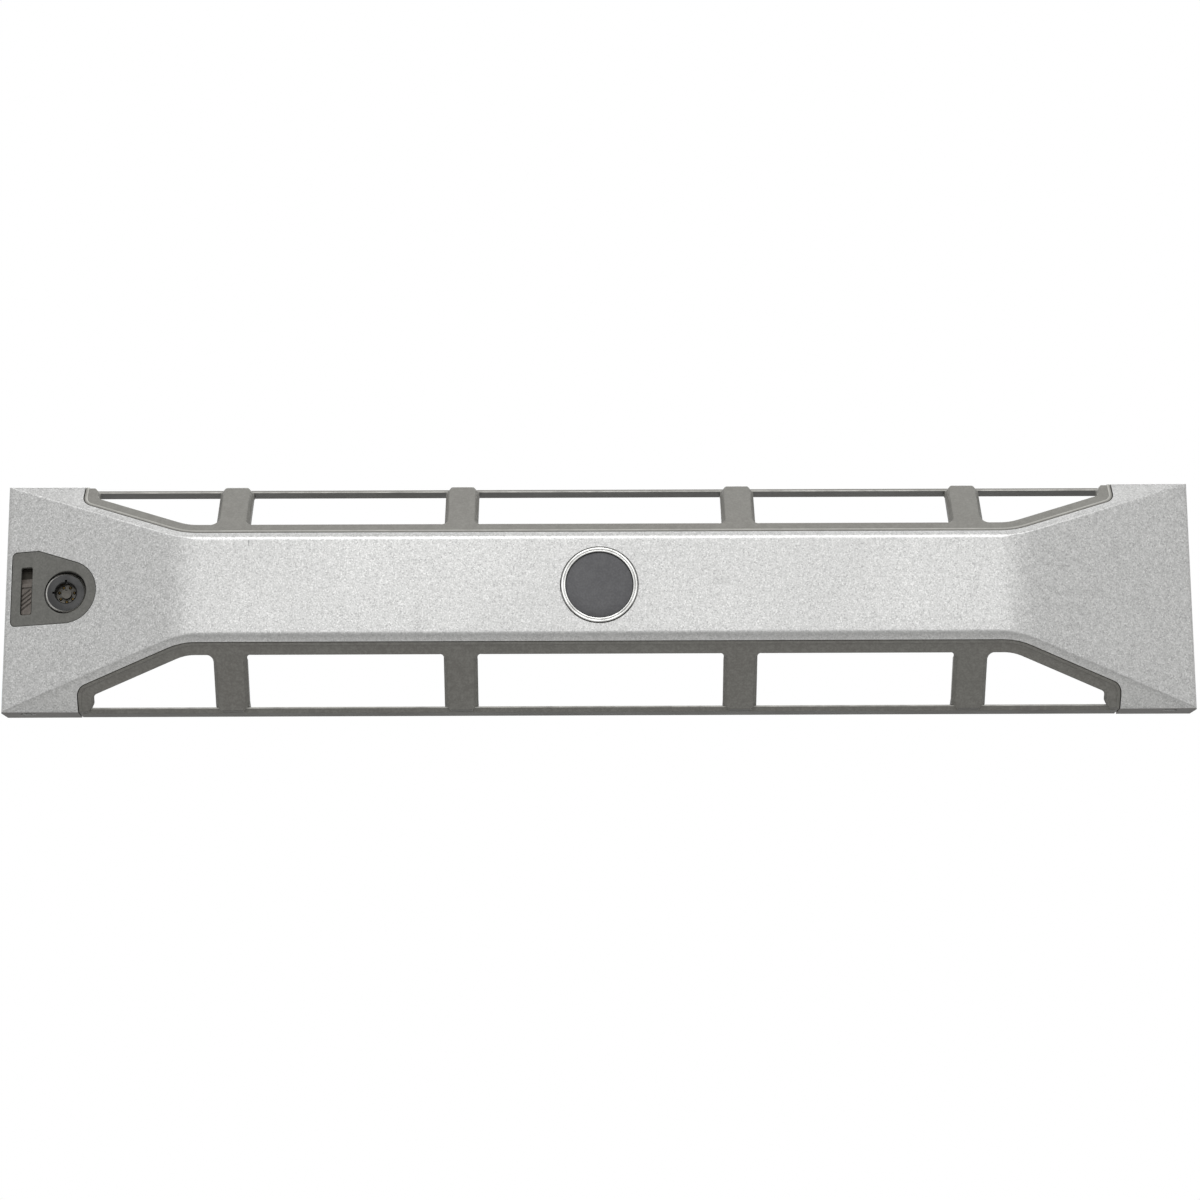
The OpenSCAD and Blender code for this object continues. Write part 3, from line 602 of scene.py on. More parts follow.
@dataclass(frozen=True)
class PaintedShell(Finish):
    """Silver flake paint on the outside, bare dark plastic on the walls and inside, with painted shade in the lower
    creases and on bare undersides, and painted highlights along the openings' rims.
    """

    bare: Colour = tone(96, 93, 88)
    marks: tuple[StrokeMark, ...] = ()

    def dress(self, board: NodeBoard, shader, place, effects: Effects) -> None:
        """Mixes paint and bare plastic by the mesh's own paint mask, adds painted crease shade, painted rim
        highlights and painted underside shade, then adds wear.

        Args:
            board: Board of the material.
            shader: The Principled shader.
            place: Object coordinates.
            effects: Shared node groups.
        """
        flake = effects.flake.place(board, Position=place, Scale=2300.0, Share=0.2)
        grain = effects.grain.place(board, Position=place, Scale=1600.0, Coarse=0.3)
        cloud = effects.cloud.place(board, Position=place, Scale=16.0)[0]
        colour = board.mix(
            board.ramp(grain["Value"], 0.3, 0.7),
            self.shade(0.8),
            self.shade(1.19),
        )
        colour = board.mix(board.math("MULTIPLY", flake["Bright"], 0.75), colour, self.shade(1.4))
        colour = board.mix(board.math("MULTIPLY", flake["Dark"], 0.75), colour, self.shade(0.6))
        # Painted shade along the lower creases and painted highlights along the openings' rims, from the mesh's own
        # masks.
        painted_crease_shade = board.add("ShaderNodeAttribute", attribute_name="painted_crease_shade").outputs["Fac"]
        painted_rim_highlight = board.add("ShaderNodeAttribute", attribute_name="painted_rim_highlight").outputs["Fac"]
        colour = board.mix(board.math("MULTIPLY", painted_crease_shade, 0.5), colour, self.shade(0.6))
        colour = board.mix(board.math("MULTIPLY", painted_rim_highlight, 0.25), colour, self.shade(1.4))
        colour = board.mix(board.math("MULTIPLY", cloud, 0.12), colour, self.shade(0.9))
        scuffs = effects.scuffs.place(board, Position=place, Scale=42.0, Amount=0.32)[0]
        colour = board.mix(board.math("MULTIPLY", scuffs, 0.3), colour, self.shade(0.62))
        for mark in self.marks:
            mask = effects.mark.place(
                board,
                Position=place,
                Centre=(mark.x, 0.0, mark.z),
                Turn=mark.turn,
                Half_Length=mark.half_length,
                Half_Width=mark.half_width,
                Break=mark.broken,
            )[0]
            end = self.shade(0.35) if mark.strength > 0 else self.shade(1.9)
            colour = board.mix(board.math("MULTIPLY", mask, abs(mark.strength)), colour, end)
        painted = board.add("ShaderNodeAttribute", attribute_name="paint").outputs["Fac"]
        spray = board.noise(place, 1400.0, 2.0)
        edge_of_paint = board.math(
            "ADD", painted, board.math("MULTIPLY", board.math("SUBTRACT", spray, 0.5), 0.35)
        )
        coat = board.ramp(edge_of_paint, 0.4, 0.6)
        wear = effects.edge.place(board, Position=place, Radius=0.0006, Scale=260.0, Amount=0.28)[0]
        coat_left = board.math("MULTIPLY", coat, board.math("SUBTRACT", 1.0, wear))
        plastic = board.mix(board.ramp(grain["Value"], 0.3, 0.7), self.bare, tone(84, 81, 77))
        # Painted shade: bare plastic that looks straight down is darkened.
        under = effects.dust_and_painted_shade.place(board, Position=place)["Painted Under Shade"]
        plastic = board.mix(board.math("MULTIPLY", under, 0.7), plastic, tone(48, 44, 41))
        board.tree.links.new(board.mix(coat_left, plastic, colour), shader.inputs["Base Color"])
        metal = board.math("MULTIPLY", coat_left, self.metallic)
        board.tree.links.new(metal, shader.inputs["Metallic"])
        rough = board.math(
            "ADD", self.roughness, board.math("MULTIPLY", board.math("SUBTRACT", cloud, 0.5), 0.08)
        )
        rough = board.math("ADD", rough, board.math("MULTIPLY", grain["Value"], 0.06))
        board.tree.links.new(rough, shader.inputs["Roughness"])
        height = board.math("ADD", grain["Height"], board.math("MULTIPLY", flake["Bright"], 0.4))
        self.relief(board, shader, height, 0.00003)

    def shade(self, factor: float) -> Colour:
        """Returns the paint colour times a factor."""
        return (self.base[0] * factor, self.base[1] * factor, self.base[2] * factor, 1.0)


@dataclass(frozen=True)
class MouldedPlastic(Finish):
    """Satin moulded plastic with fine spark grain, faint flow tint, rubbed edges, painted edge highlights, pale
    dust with painted top light and painted underside shade.
    """

    light: Colour = tone(140, 138, 132)
    tint: Colour = tone(104, 98, 94)
    grain_scale: float = 1300.0
    grain_depth: float = 0.00004
    grain_mix: float = 0.45
    wear: float = 0.4
    # Pale colour for dust and painted top light on upward faces, and the shares of it and of the painted underside
    # shade.
    dust_and_top_light: Colour = tone(158, 157, 151)
    dust_and_top_light_mix: float = 0.0
    painted_under_shade_mix: float = 0.0

    def dress(self, board: NodeBoard, shader, place, effects: Effects) -> None:
        """Mixes grain, slow tint, dust with painted top light, painted underside shade, painted edge highlights,
        scuffs and edge wear.

        Args:
            board: Board of the material.
            shader: The Principled shader.
            place: Object coordinates.
            effects: Shared node groups.
        """
        grain = effects.grain.place(board, Position=place, Scale=self.grain_scale, Coarse=0.4)
        cloud = effects.cloud.place(board, Position=place, Scale=26.0)[0]
        colour = board.mix(board.math("MULTIPLY", cloud, 0.5), self.base, self.tint)
        colour = board.mix(
            board.math("MULTIPLY", board.ramp(grain["Value"], 0.35, 0.7), self.grain_mix),
            colour,
            self.light,
        )
        # Pale dust and painted top light on faces that look up, painted shade on faces that look straight down.
        dust_and_painted_shade = effects.dust_and_painted_shade.place(board, Position=place)
        colour = board.mix(board.math("MULTIPLY", dust_and_painted_shade["Dust And Painted Top Light"], self.dust_and_top_light_mix), colour, self.dust_and_top_light)
        colour = board.mix(
            board.math("MULTIPLY", dust_and_painted_shade["Painted Under Shade"], self.painted_under_shade_mix), colour, tone(40, 38, 36)
        )
        # Painted highlight, pale where the mesh's own mask marks a lit lip or seam.
        painted_highlight = board.add("ShaderNodeAttribute", attribute_name="painted_highlight").outputs["Fac"]
        painted_highlight = board.math("MULTIPLY", painted_highlight, board.noise(place, 160.0, 3.0, 0.6))
        colour = board.mix(board.math("MULTIPLY", painted_highlight, 1.5, True), colour, tone(205, 204, 198))
        scuffs = effects.scuffs.place(board, Position=place, Scale=70.0, Amount=0.4)[0]
        colour = board.mix(board.math("MULTIPLY", scuffs, 0.35), colour, self.light)
        wear = effects.edge.place(
            board, Position=place, Radius=0.0005, Scale=420.0, Amount=self.wear
        )[0]
        colour = board.mix(board.math("MULTIPLY", wear, 0.6), colour, self.light)
        board.tree.links.new(colour, shader.inputs["Base Color"])
        rough = board.math("ADD", self.roughness - 0.05, board.math("MULTIPLY", cloud, 0.1))
        rough = board.math("SUBTRACT", rough, board.math("MULTIPLY", wear, 0.12))
        board.tree.links.new(rough, shader.inputs["Roughness"])
        self.relief(board, shader, grain["Height"], self.grain_depth)


@dataclass(frozen=True)
class TurnedMetal(Finish):
    """Turned or plated metal: rings round an axis along Y, dull patches, small nicks and a painted highlight where
    the mesh marks one.
    """

    axis_x: float = 0.0
    axis_z: float = 0.0
    ring_scale: float = 0.0
    dull: Colour = tone(90, 90, 90)
    dull_share: float = 0.35
    depth: float = 0.00001

    def dress(self, board: NodeBoard, shader, place, effects: Effects) -> None:
        """Mixes rings, patches, grain and a painted highlight.

        Args:
            board: Board of the material.
            shader: The Principled shader.
            place: Object coordinates.
            effects: Shared node groups.
        """
        grain = effects.grain.place(board, Position=place, Scale=1900.0, Coarse=0.5)
        cloud = effects.cloud.place(board, Position=place, Scale=210.0)[0]
        height = grain["Height"]
        if self.ring_scale:
            away = board.add(
                "ShaderNodeVectorMath",
                {0: place, 1: (self.axis_x, 0.0, self.axis_z)},
                operation="SUBTRACT",
            ).outputs[0]
            flat = board.add(
                "ShaderNodeVectorMath", {0: away, 1: (1.0, 0.0, 1.0)}, operation="MULTIPLY"
            ).outputs[0]
            radius = board.add(
                "ShaderNodeVectorMath", {0: flat}, operation="LENGTH"
            ).outputs["Value"]
            along = board.add(
                "ShaderNodeCombineXYZ", {0: board.math("MULTIPLY", radius, self.ring_scale)}
            ).outputs[0]
            height = board.noise(along, 1.0, 3.0, 0.7)
        colour = board.mix(board.math("MULTIPLY", cloud, self.dull_share), self.base, self.dull)
        colour = board.mix(
            board.math("MULTIPLY", board.ramp(grain["Value"], 0.55, 0.75), 0.3), colour, self.dull
        )
        scuffs = effects.scuffs.place(board, Position=place, Scale=230.0, Amount=0.5)[0]
        colour = board.mix(board.math("MULTIPLY", scuffs, 0.4), colour, self.dull)
        # Painted highlight, pale where the mesh's own mask marks a lit chamfer.
        painted_highlight = board.add("ShaderNodeAttribute", attribute_name="painted_highlight").outputs["Fac"]
        colour = board.mix(painted_highlight, colour, tone(205, 204, 200))
        board.tree.links.new(colour, shader.inputs["Base Color"])
        rough = board.math("ADD", self.roughness, board.math("MULTIPLY", cloud, 0.12))
        rough = board.math("ADD", rough, board.math("MULTIPLY", scuffs, 0.15))
        board.tree.links.new(rough, shader.inputs["Roughness"])
        self.relief(board, shader, height, self.depth)


@dataclass(frozen=True)
class RolledSteel(Finish):
    """Zinc-plated sheet steel: long rolling grain and cloudy crystals."""

    dull: Colour = tone(128, 130, 132)
    yellow: Colour = tone(168, 160, 138)

    def dress(self, board: NodeBoard, shader, place, effects: Effects) -> None:
        """Mixes rolling grain along Z with crystal cells.

        Args:
            board: Board of the material.
            shader: The Principled shader.
            place: Object coordinates.
            effects: Shared node groups.
        """
        rolled = board.noise(board.stretch(place, (1.0, 1.0, 0.05)), 2400.0, 3.0, 0.6)
        cells = board.add("ShaderNodeTexVoronoi", {"Vector": place, "Scale": 420.0}).outputs["Color"]
        lot = board.add("ShaderNodeSeparateColor", {0: cells}).outputs[0]
        cloud = effects.cloud.place(board, Position=place, Scale=60.0)[0]
        colour = board.mix(board.math("MULTIPLY", lot, 0.35), self.base, self.dull)
        colour = board.mix(board.math("MULTIPLY", cloud, 0.3), colour, self.yellow)
        scuffs = effects.scuffs.place(board, Position=place, Scale=120.0, Amount=0.6)[0]
        colour = board.mix(board.math("MULTIPLY", scuffs, 0.5), colour, self.dull)
        board.tree.links.new(colour, shader.inputs["Base Color"])
        rough = board.math("ADD", self.roughness, board.math("MULTIPLY", rolled, 0.14))
        rough = board.math("ADD", rough, board.math("MULTIPLY", cloud, 0.08))
        board.tree.links.new(rough, shader.inputs["Roughness"])
        self.relief(board, shader, rolled, 0.00001)


# ---------------------------------------------------------------- surfaces


def rounded_loop(corners: list[tuple[float, float, float]], steps: int = 4) -> np.ndarray:
    """Closed outline through corners, each rounded by an arc.

    Each corner becomes an arc that touches both its sides: the arc's centre lies on the
    bisector at radius / sin(half angle) from the corner.

    Args:
        corners: Tuples of first coordinate, second coordinate and radius.
        steps: Segments of each arc.

    Returns:
        Points, one row each.
    """
    table = np.array(corners, float)
    point, radius = table[:, :2], table[:, 2]
    back = np.roll(point, 1, 0) - point
    ahead = np.roll(point, -1, 0) - point
    back /= np.linalg.norm(back, axis=1, keepdims=True)
    ahead /= np.linalg.norm(ahead, axis=1, keepdims=True)
    half = np.arccos(np.clip((back * ahead).sum(1), -1.0, 1.0)) / 2.0
    reach = radius / np.tan(half)
    middle = back + ahead
    middle /= np.maximum(np.linalg.norm(middle, axis=1, keepdims=True), 1e-12)
    centre = point + middle * (radius / np.sin(half))[:, None]
    start = point + back * reach[:, None] - centre
    end = point + ahead * reach[:, None] - centre
    angle = math.pi - 2.0 * half
    share = np.linspace(0.0, 1.0, steps + 1)
    safe = np.maximum(np.sin(angle), 1e-9)[:, None]
    first = np.sin((1.0 - share)[None, :] * angle[:, None]) / safe
    last = np.sin(share[None, :] * angle[:, None]) / safe
    arcs = centre[:, None] + first[..., None] * start[:, None] + last[..., None] * end[:, None]
    sharp = radius <= 0.0
    rows = [arcs[i] if not sharp[i] else point[i : i + 1] for i in range(len(point))]
    return np.concatenate(rows)


def fillet_span(ratio: float, radius: float) -> tuple[float, float]:
    """Start and end of the fillet between a level line and one that falls away.

    Args:
        ratio: Fall of the second line for each metre.
        radius: Radius of the fillet.

    Returns:
        Both places, measured from the corner along the level line.
    """
    angle = math.atan(ratio)
    reach = radius * math.tan(angle / 2.0)
    return -reach, reach * math.cos(angle)


def fillet(run: np.ndarray, ratio: float, radius: float) -> np.ndarray:
    """Fall of a level line that turns into a slope through a circular fillet.

    Before the fillet it is 0, in it r - sqrt(r^2 - run^2) from the fillet's start, and after it
    ratio times the run.

    Args:
        run: Distance from the corner.
        ratio: Fall of the slope for each metre.
        radius: Radius of the fillet.

    Returns:
        The fall at each run.
    """
    start, end = fillet_span(ratio, radius)
    arc = np.clip(run - start, 0.0, end - start)
    return np.where(run > end, ratio * run, radius - np.sqrt(radius**2 - arc**2))


class Surface:
    """Vertices and faces of one closed surface, as arrays."""

    def __init__(
        self,
        points: np.ndarray,
        quads: np.ndarray,
        tris: np.ndarray,
        painted_highlight: np.ndarray | None = None,
    ) -> None:
        """Keeps the arrays.

        Args:
            points: Positions in metres, one row each.
            quads: Four vertex numbers a row.
            tris: Three vertex numbers a row.
            painted_highlight: Share of a painted pale highlight at each vertex, from 0 to 1; none if left out.
        """
        self.points = points
        self.painted_highlight = np.zeros(len(points)) if painted_highlight is None else painted_highlight
        self.quads = quads.astype(np.int64)
        self.tris = tris.astype(np.int64)

    @classmethod
    def ring_grid(cls, grid: np.ndarray, closed: bool) -> "Surface":
        """Makes a surface from rings that each run once round.

        Ring i holds the points grid[i]. Ring i is joined to ring i + 1, and the last one to
        the first if closed. Otherwise each end is closed by a fan round the ring's middle.

        Args:
            grid: Array of rings, points and three coordinates.
            closed: Whether the rings themselves run in a loop.

        Returns:
            The surface.
        """
        rings, sides = grid.shape[:2]
        points = grid.reshape(-1, 3)
        last = rings if closed else rings - 1
        i = np.arange(last)[:, None]
        k = np.arange(sides)[None, :]
        j, n = (i + 1) % rings, (k + 1) % sides
        quads = np.stack(
            np.broadcast_arrays(i * sides + k, i * sides + n, j * sides + n, j * sides + k), -1
        ).reshape(-1, 4)
        tris = np.zeros((0, 3))
        if not closed:
            middle = np.stack([grid[0].mean(0), grid[-1].mean(0)])
            points = np.concatenate([points, middle])
            base, top = len(points) - 2, len(points) - 1
            k, n = np.arange(sides), (np.arange(sides) + 1) % sides
            first = np.stack([np.full(sides, base), n, k], -1)
            end = np.stack([np.full(sides, top), (rings - 1) * sides + k, (rings - 1) * sides + n], -1)
            tris = np.concatenate([first, end])
        return cls(points, quads, tris)

    def copies(self, places: np.ndarray) -> "Surface":
        """Repeats the surface at several places.

        Args:
            places: Offsets in metres, one row each.

        Returns:
            One surface with all copies.
        """
        count, size = len(places), len(self.points)
        shift = (np.arange(count) * size)[:, None, None]
        return Surface(
            (self.points[None] + places[:, None]).reshape(-1, 3),
            (self.quads[None] + shift).reshape(-1, 4),
            (self.tris[None] + shift).reshape(-1, 3),
        )

    @classmethod
    def join(cls, parts: list["Surface"]) -> "Surface":
        """Puts several closed surfaces into one, each turned outwards.

        Args:
            parts: The surfaces.

        Returns:
            One surface.
        """
        parts = [part.outward() for part in parts]
        start = np.cumsum([0] + [len(part.points) for part in parts[:-1]])
        return cls(
            np.concatenate([part.points for part in parts]),
            np.concatenate([part.quads + n for part, n in zip(parts, start)]),
            np.concatenate([part.tris + n for part, n in zip(parts, start)]),
            np.concatenate([part.painted_highlight for part in parts]),
        )

    def outward(self) -> "Surface":
        """Turns the faces outwards, by the sign of the enclosed volume.

        Returns:
            The surface itself.
        """
        tris = np.concatenate([self.quads[:, [0, 1, 2]], self.quads[:, [0, 2, 3]], self.tris])
        a, b, c = (self.points[tris[:, n]] for n in range(3))
        if np.einsum("ij,ij->i", a, np.cross(b, c)).sum() < 0.0:
            self.quads = self.quads[:, ::-1]
            self.tris = self.tris[:, ::-1]
        return self

    def mesh(self, name: str, sharp: float = 35.0) -> bpy.types.Object:
        """Writes the arrays into a Blender object at the origin.

        Args:
            name: Name of the object.
            sharp: Edges that bend more than this many degrees stay sharp.

        Returns:
            The object.
        """
        data = bpy.data.meshes.new(name)
        loops = np.concatenate([self.quads.ravel(), self.tris.ravel()]).astype(np.int32)
        sizes = np.concatenate([np.full(len(self.quads), 4), np.full(len(self.tris), 3)])
        data.vertices.add(len(self.points))
        data.vertices.foreach_set("co", self.points.astype(np.float32).ravel())
        data.loops.add(len(loops))
        data.loops.foreach_set("vertex_index", loops)
        data.polygons.add(len(sizes))
        starts = np.concatenate([[0], np.cumsum(sizes)[:-1]]).astype(np.int32)
        data.polygons.foreach_set("loop_start", starts)
        data.update(calc_edges=True)
        data.validate()
        # Stores the painted highlight mask for the finishes.
        if self.painted_highlight.any():
            layer = data.attributes.new("painted_highlight", "FLOAT", "POINT")
            layer.data.foreach_set("value", self.painted_highlight.astype(np.float32))
        return shown(data, name, sharp)


def shown(data: bpy.types.Mesh, name: str, sharp: float) -> bpy.types.Object:
    """Shades a mesh smooth up to an angle and puts it in the scene.

    Args:
        data: The mesh.
        name: Name of the object.
        sharp: Edges that bend more than this many degrees stay sharp.

    Returns:
        The object.
    """
    data.polygons.foreach_set("use_smooth", np.ones(len(data.polygons), bool))
    data.set_sharp_from_angle(angle=math.radians(sharp))
    made = bpy.data.objects.new(name, data)
    bpy.context.scene.collection.objects.link(made)
    return made


def keep_flats_flat(piece: bpy.types.Object) -> bpy.types.Object:
    """Weighs each corner's normal by the area of its faces, so that large flat faces stay flat.

    Args:
        piece: The object.

    Returns:
        The object.
    """
    flat = piece.modifiers.new("flat faces stay flat", "WEIGHTED_NORMAL")
    flat.keep_sharp = True
    return piece


def split_at(loop: np.ndarray, levels: np.ndarray) -> np.ndarray:
    """Adds the points where a closed outline crosses given values of its second coordinate.

    Args:
        loop: Outline, one row a point; further columns are interpolated.
        levels: Values of the second coordinate.

    Returns:
        The outline with the new points.
    """
    for level in levels:
        after = np.roll(loop, -1, 0)
        low, high = loop[:, 1] - level, after[:, 1] - level
        hit = np.flatnonzero(low * high < -1e-16)
        share = (low[hit] / (low[hit] - high[hit]))[:, None]
        new = loop[hit] + share * (after[hit] - loop[hit])
        new[:, 1] = level
        loop = np.insert(loop, hit + 1, new, axis=0)
    return loop


def inset_direction(loop: np.ndarray) -> np.ndarray:
    """Direction in which each point of a counterclockwise outline moves when it is inset by 1.

    With the inward normals a and b of the two sides at a point, it is (a + b) / (1 + a.b).

    Args:
        loop: Outline, one row a point.

    Returns:
        One direction a point.
    """
    side = np.roll(loop, -1, 0) - loop
    side /= np.linalg.norm(side, axis=1, keepdims=True)
    normal = np.stack([-side[:, 1], side[:, 0]], 1)
    before = np.roll(normal, 1, 0)
    return (normal + before) / (1.0 + (normal * before).sum(1))[:, None]


def fill(loops: list[np.ndarray], bridges: np.ndarray) -> np.ndarray:
    """Triangles that fill an outline, without its holes.

    Args:
        loops: The outline and its holes.
        bridges: Pairs of point numbers that have to be edges.

    Returns:
        Three point numbers a row.
    """
    points = np.concatenate(loops)
    start = np.cumsum([0] + [len(loop) for loop in loops])
    edges = [
        np.stack([np.arange(len(loop)), (np.arange(len(loop)) + 1) % len(loop)], 1) + n
        for loop, n in zip(loops, start)
    ]
    edges = np.concatenate(edges + [bridges.reshape(-1, 2)]).astype(int)
    made = delaunay_2d_cdt([Vector(p) for p in points], edges.tolist(), [], 1, 1e-9)
    source = np.array([group[0] for group in made[3]])
    tris = source[np.array(made[2])]
    centre = points[tris].mean(1)
    keep = np.ones(len(tris), bool)
    for hole in loops[1:]:
        a, b = hole[None], np.roll(hole, -1, 0)[None]
        x, y = centre[:, 0:1], centre[:, 1:2]
        rise = np.where(b[..., 1] == a[..., 1], 1e-12, b[..., 1] - a[..., 1])
        cross = (a[..., 1] > y) != (b[..., 1] > y)
        cross &= x < a[..., 0] + (y - a[..., 1]) / rise * (b[..., 0] - a[..., 0])
        keep &= cross.sum(1) % 2 == 0
    return tris[keep]


def slab(
    loops: list[np.ndarray],
    thick: float,
    place: Callable[[np.ndarray, np.ndarray, np.ndarray], np.ndarray],
    radius: float = 0.0,
    levels: np.ndarray | None = None,
    steps: int = 4,
    profile: Callable[[np.ndarray], list[tuple[np.ndarray, np.ndarray]]] | None = None,
) -> Surface:
    """A plate with a rounded front edge, laid on a surface by a function of two coordinates.

    At the edge the front follows a quarter circle: a point inset by r (1 - cos a) lies
    r (1 - sin a) below the front, for a from 90 degrees down to 0.

    Args:
        loops: Counterclockwise outline, then clockwise holes; a third column may give r.
        thick: Thickness of the plate.
        place: Turns the two coordinates and the depth into a place in space.
        radius: Edge radius where the outlines give none.
        levels: Values of the second coordinate at which the plate bends.
        steps: Segments of the quarter circle.
        profile: Own edge instead of the quarter circle: inset and depth of each ring, from the
            outside in, for the outline's third column.

    Returns:
        The surface.
    """
    levels = np.zeros(0) if levels is None else levels
    loops = [split_at(loop, levels) for loop in loops]
    reach = [loop[:, 2] if loop.shape[1] > 2 else np.full(len(loop), radius) for loop in loops]
    flat = [loop[:, :2] for loop in loops]
    inward = [inset_direction(loop) for loop in flat]
    quarter = np.linspace(math.pi / 2.0, 0.0, steps + 1)
    rings, depths = [], []
    steps_in = [
        profile(r) if profile else [(r * (1.0 - math.cos(a)), r * (1.0 - math.sin(a))) for a in quarter[::-1]]
        for r in reach
    ]
    for row in reversed(list(zip(*steps_in))):
        rings.append([p + d * inset[:, None] for p, d, (inset, _) in zip(flat, inward, row)])
        depths.append([depth for _, depth in row])
    rings.append(flat)
    depths.append([np.full(len(p), thick) for p in flat])
    count = sum(len(p) for p in flat)
    bridges = []
    base = np.concatenate(flat)
    for level in levels:
        on = np.flatnonzero(np.abs(base[:, 1] - level) < 1e-9)
        bridges.append(on[np.argsort(base[on, 0])][: len(on) // 2 * 2].reshape(-1, 2))
    pairs = np.concatenate(bridges) if bridges else np.zeros((0, 2), int)
    uv = np.stack([np.concatenate(ring) for ring in rings])
    depth = np.stack([np.concatenate(level) for level in depths])
    points = place(uv[..., 0], uv[..., 1], depth).reshape(-1, 3)
    start, quads = 0, []
    for loop in flat:
        k = start + np.arange(len(loop))
        n = start + (np.arange(len(loop)) + 1) % len(loop)
        i = np.arange(len(rings) - 1)[:, None] * count
        quads.append(np.stack([i + k, i + n, i + n + count, i + k + count], -1).reshape(-1, 4))
        start += len(loop)
    front = fill(rings[0], pairs)
    back = fill(rings[-1], pairs)[:, ::-1] + (len(rings) - 1) * count
    return Surface(points, np.concatenate(quads)[:, ::-1], np.concatenate([front, back]))


def circle(x: float, z: float, radius: float, sides: int = 32) -> np.ndarray:
    """Clockwise circle, for a hole.

    Args:
        x: First coordinate of its centre.
        z: Second coordinate of its centre.
        radius: Its radius.
        sides: Number of its points.

    Returns:
        The points.
    """
    angle = -np.arange(sides) * TAU / sides
    return np.stack([x + radius * np.cos(angle), z + radius * np.sin(angle)], 1)


def even_angles(sides: int, extra: tuple[float, ...] = ()) -> np.ndarray:
    """Angles round a full turn, with some exact ones added.

    Args:
        sides: Number of even steps.
        extra: Angles in radians that have to be there.

    Returns:
        Sorted angles.
    """
    base = np.arange(sides) * TAU / sides
    if not extra:
        return base
    more = np.mod(np.array(extra), TAU)
    far = np.abs((base[:, None] - more[None] + math.pi) % TAU - math.pi).min(1) > 0.008
    return np.sort(np.concatenate([base[far], more]))


def tube(path: np.ndarray, radius: np.ndarray, sides: int = 12) -> Surface:
    """A round wire along a path.

    Each ring lies square to the path: its first axis is the part of the direction away from
    the Z axis that is square to the path, its second the cross product with the path.

    Args:
        path: Points of the centre line.
        radius: Radius at each point.
        sides: Points of each ring.

    Returns:
        The surface.
    """
    ahead = np.gradient(path, axis=0)
    ahead /= np.linalg.norm(ahead, axis=1, keepdims=True)
    up = np.array([0.0, 0.0, 1.0])
    first = up - ahead * (ahead @ up)[:, None]
    first /= np.linalg.norm(first, axis=1, keepdims=True)
    second = np.cross(ahead, first)
    angle = np.arange(sides) * TAU / sides
    ring = np.cos(angle)[None, :, None] * first[:, None] + np.sin(angle)[None, :, None] * second[:, None]
    return Surface.ring_grid(path[:, None] + radius[:, None, None] * ring, closed=False)


def lathe(
    loop: np.ndarray,
    centre: tuple[float, float],
    angles: np.ndarray,
    shape: Callable[[np.ndarray, np.ndarray, np.ndarray], tuple[np.ndarray, np.ndarray]] | None = None,
) -> Surface:
    """Turns an outline of radius and depth round an axis along Y.

    A point is x = cx + r cos(a), y, z = cz + r sin(a). A shape function may change r and y
    as a function of r, y and the angle, for notches, threads and flats. Where the outline
    starts and ends on the axis, the poles are closed by fans.

    Args:
        loop: Outline, one row of radius and y each.
        centre: Place of the axis as x and z.
        angles: Angles of the sides.
        shape: Optional change of radius and y.

    Returns:
        The surface.
    """
    radius, depth, angle = np.broadcast_arrays(loop[:, 0:1], loop[:, 1:2], angles[None, :])
    if shape is not None:
        radius, depth = shape(radius, depth, angle)
    grid = np.stack(
        [centre[0] + radius * np.cos(angle), depth, centre[1] + radius * np.sin(angle)], -1
    )
    if loop[0, 0] < 1e-9 and loop[-1, 0] < 1e-9:
        return Surface.ring_grid(grid[1:-1], closed=False)
    return Surface.ring_grid(grid, closed=True)


def smooth_copy(node: str, name: str, sharp: float = 30.0) -> bpy.types.Object:
    """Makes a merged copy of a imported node, with clean flat faces and smooth curved ones.

    Args:
        node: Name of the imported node.
        name: Name of the new object.
        sharp: Edges that bend more than this many degrees stay sharp.

    Returns:
        The object.
    """
    work = bmesh.new()
    work.from_mesh(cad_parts[node].data)
    bmesh.ops.remove_doubles(work, verts=work.verts, dist=2e-6)
    bmesh.ops.dissolve_limit(
        work, angle_limit=math.radians(0.2), verts=work.verts, edges=work.edges
    )
    data = bpy.data.meshes.new(name)
    work.to_mesh(data)
    work.free()
    return keep_flats_flat(shown(data, name, sharp))


# ---------------------------------------------------------------- sub-assemblies


@dataclass
class Builder:
    """What every sub-assembly needs: the shared groups and the finished materials."""

    effects: Effects
    made: dict[str, bpy.types.Material] = field(default_factory=dict)
    count: int = 0

    def settle(
        self, piece: bpy.types.Object, finish: Finish, body: Body, *nodes: str
    ) -> bpy.types.Object:
        """Gives a piece its material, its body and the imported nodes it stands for.

        Args:
            piece: The object.
            finish: Its finish.
            body: The body it rides on.
            *nodes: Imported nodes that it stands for.

        Returns:
            The object.
        """
        if finish.name not in self.made:
            self.made[finish.name] = finish.material(self.effects)
        piece.data.materials.clear()
        piece.data.materials.append(self.made[finish.name])
        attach(piece, body.value)
        if nodes:
            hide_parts(*nodes)
        self.count += 1
        LOG.info("%s: %d faces, rides on %s", piece.name, len(piece.data.polygons), body.value)
        return piece


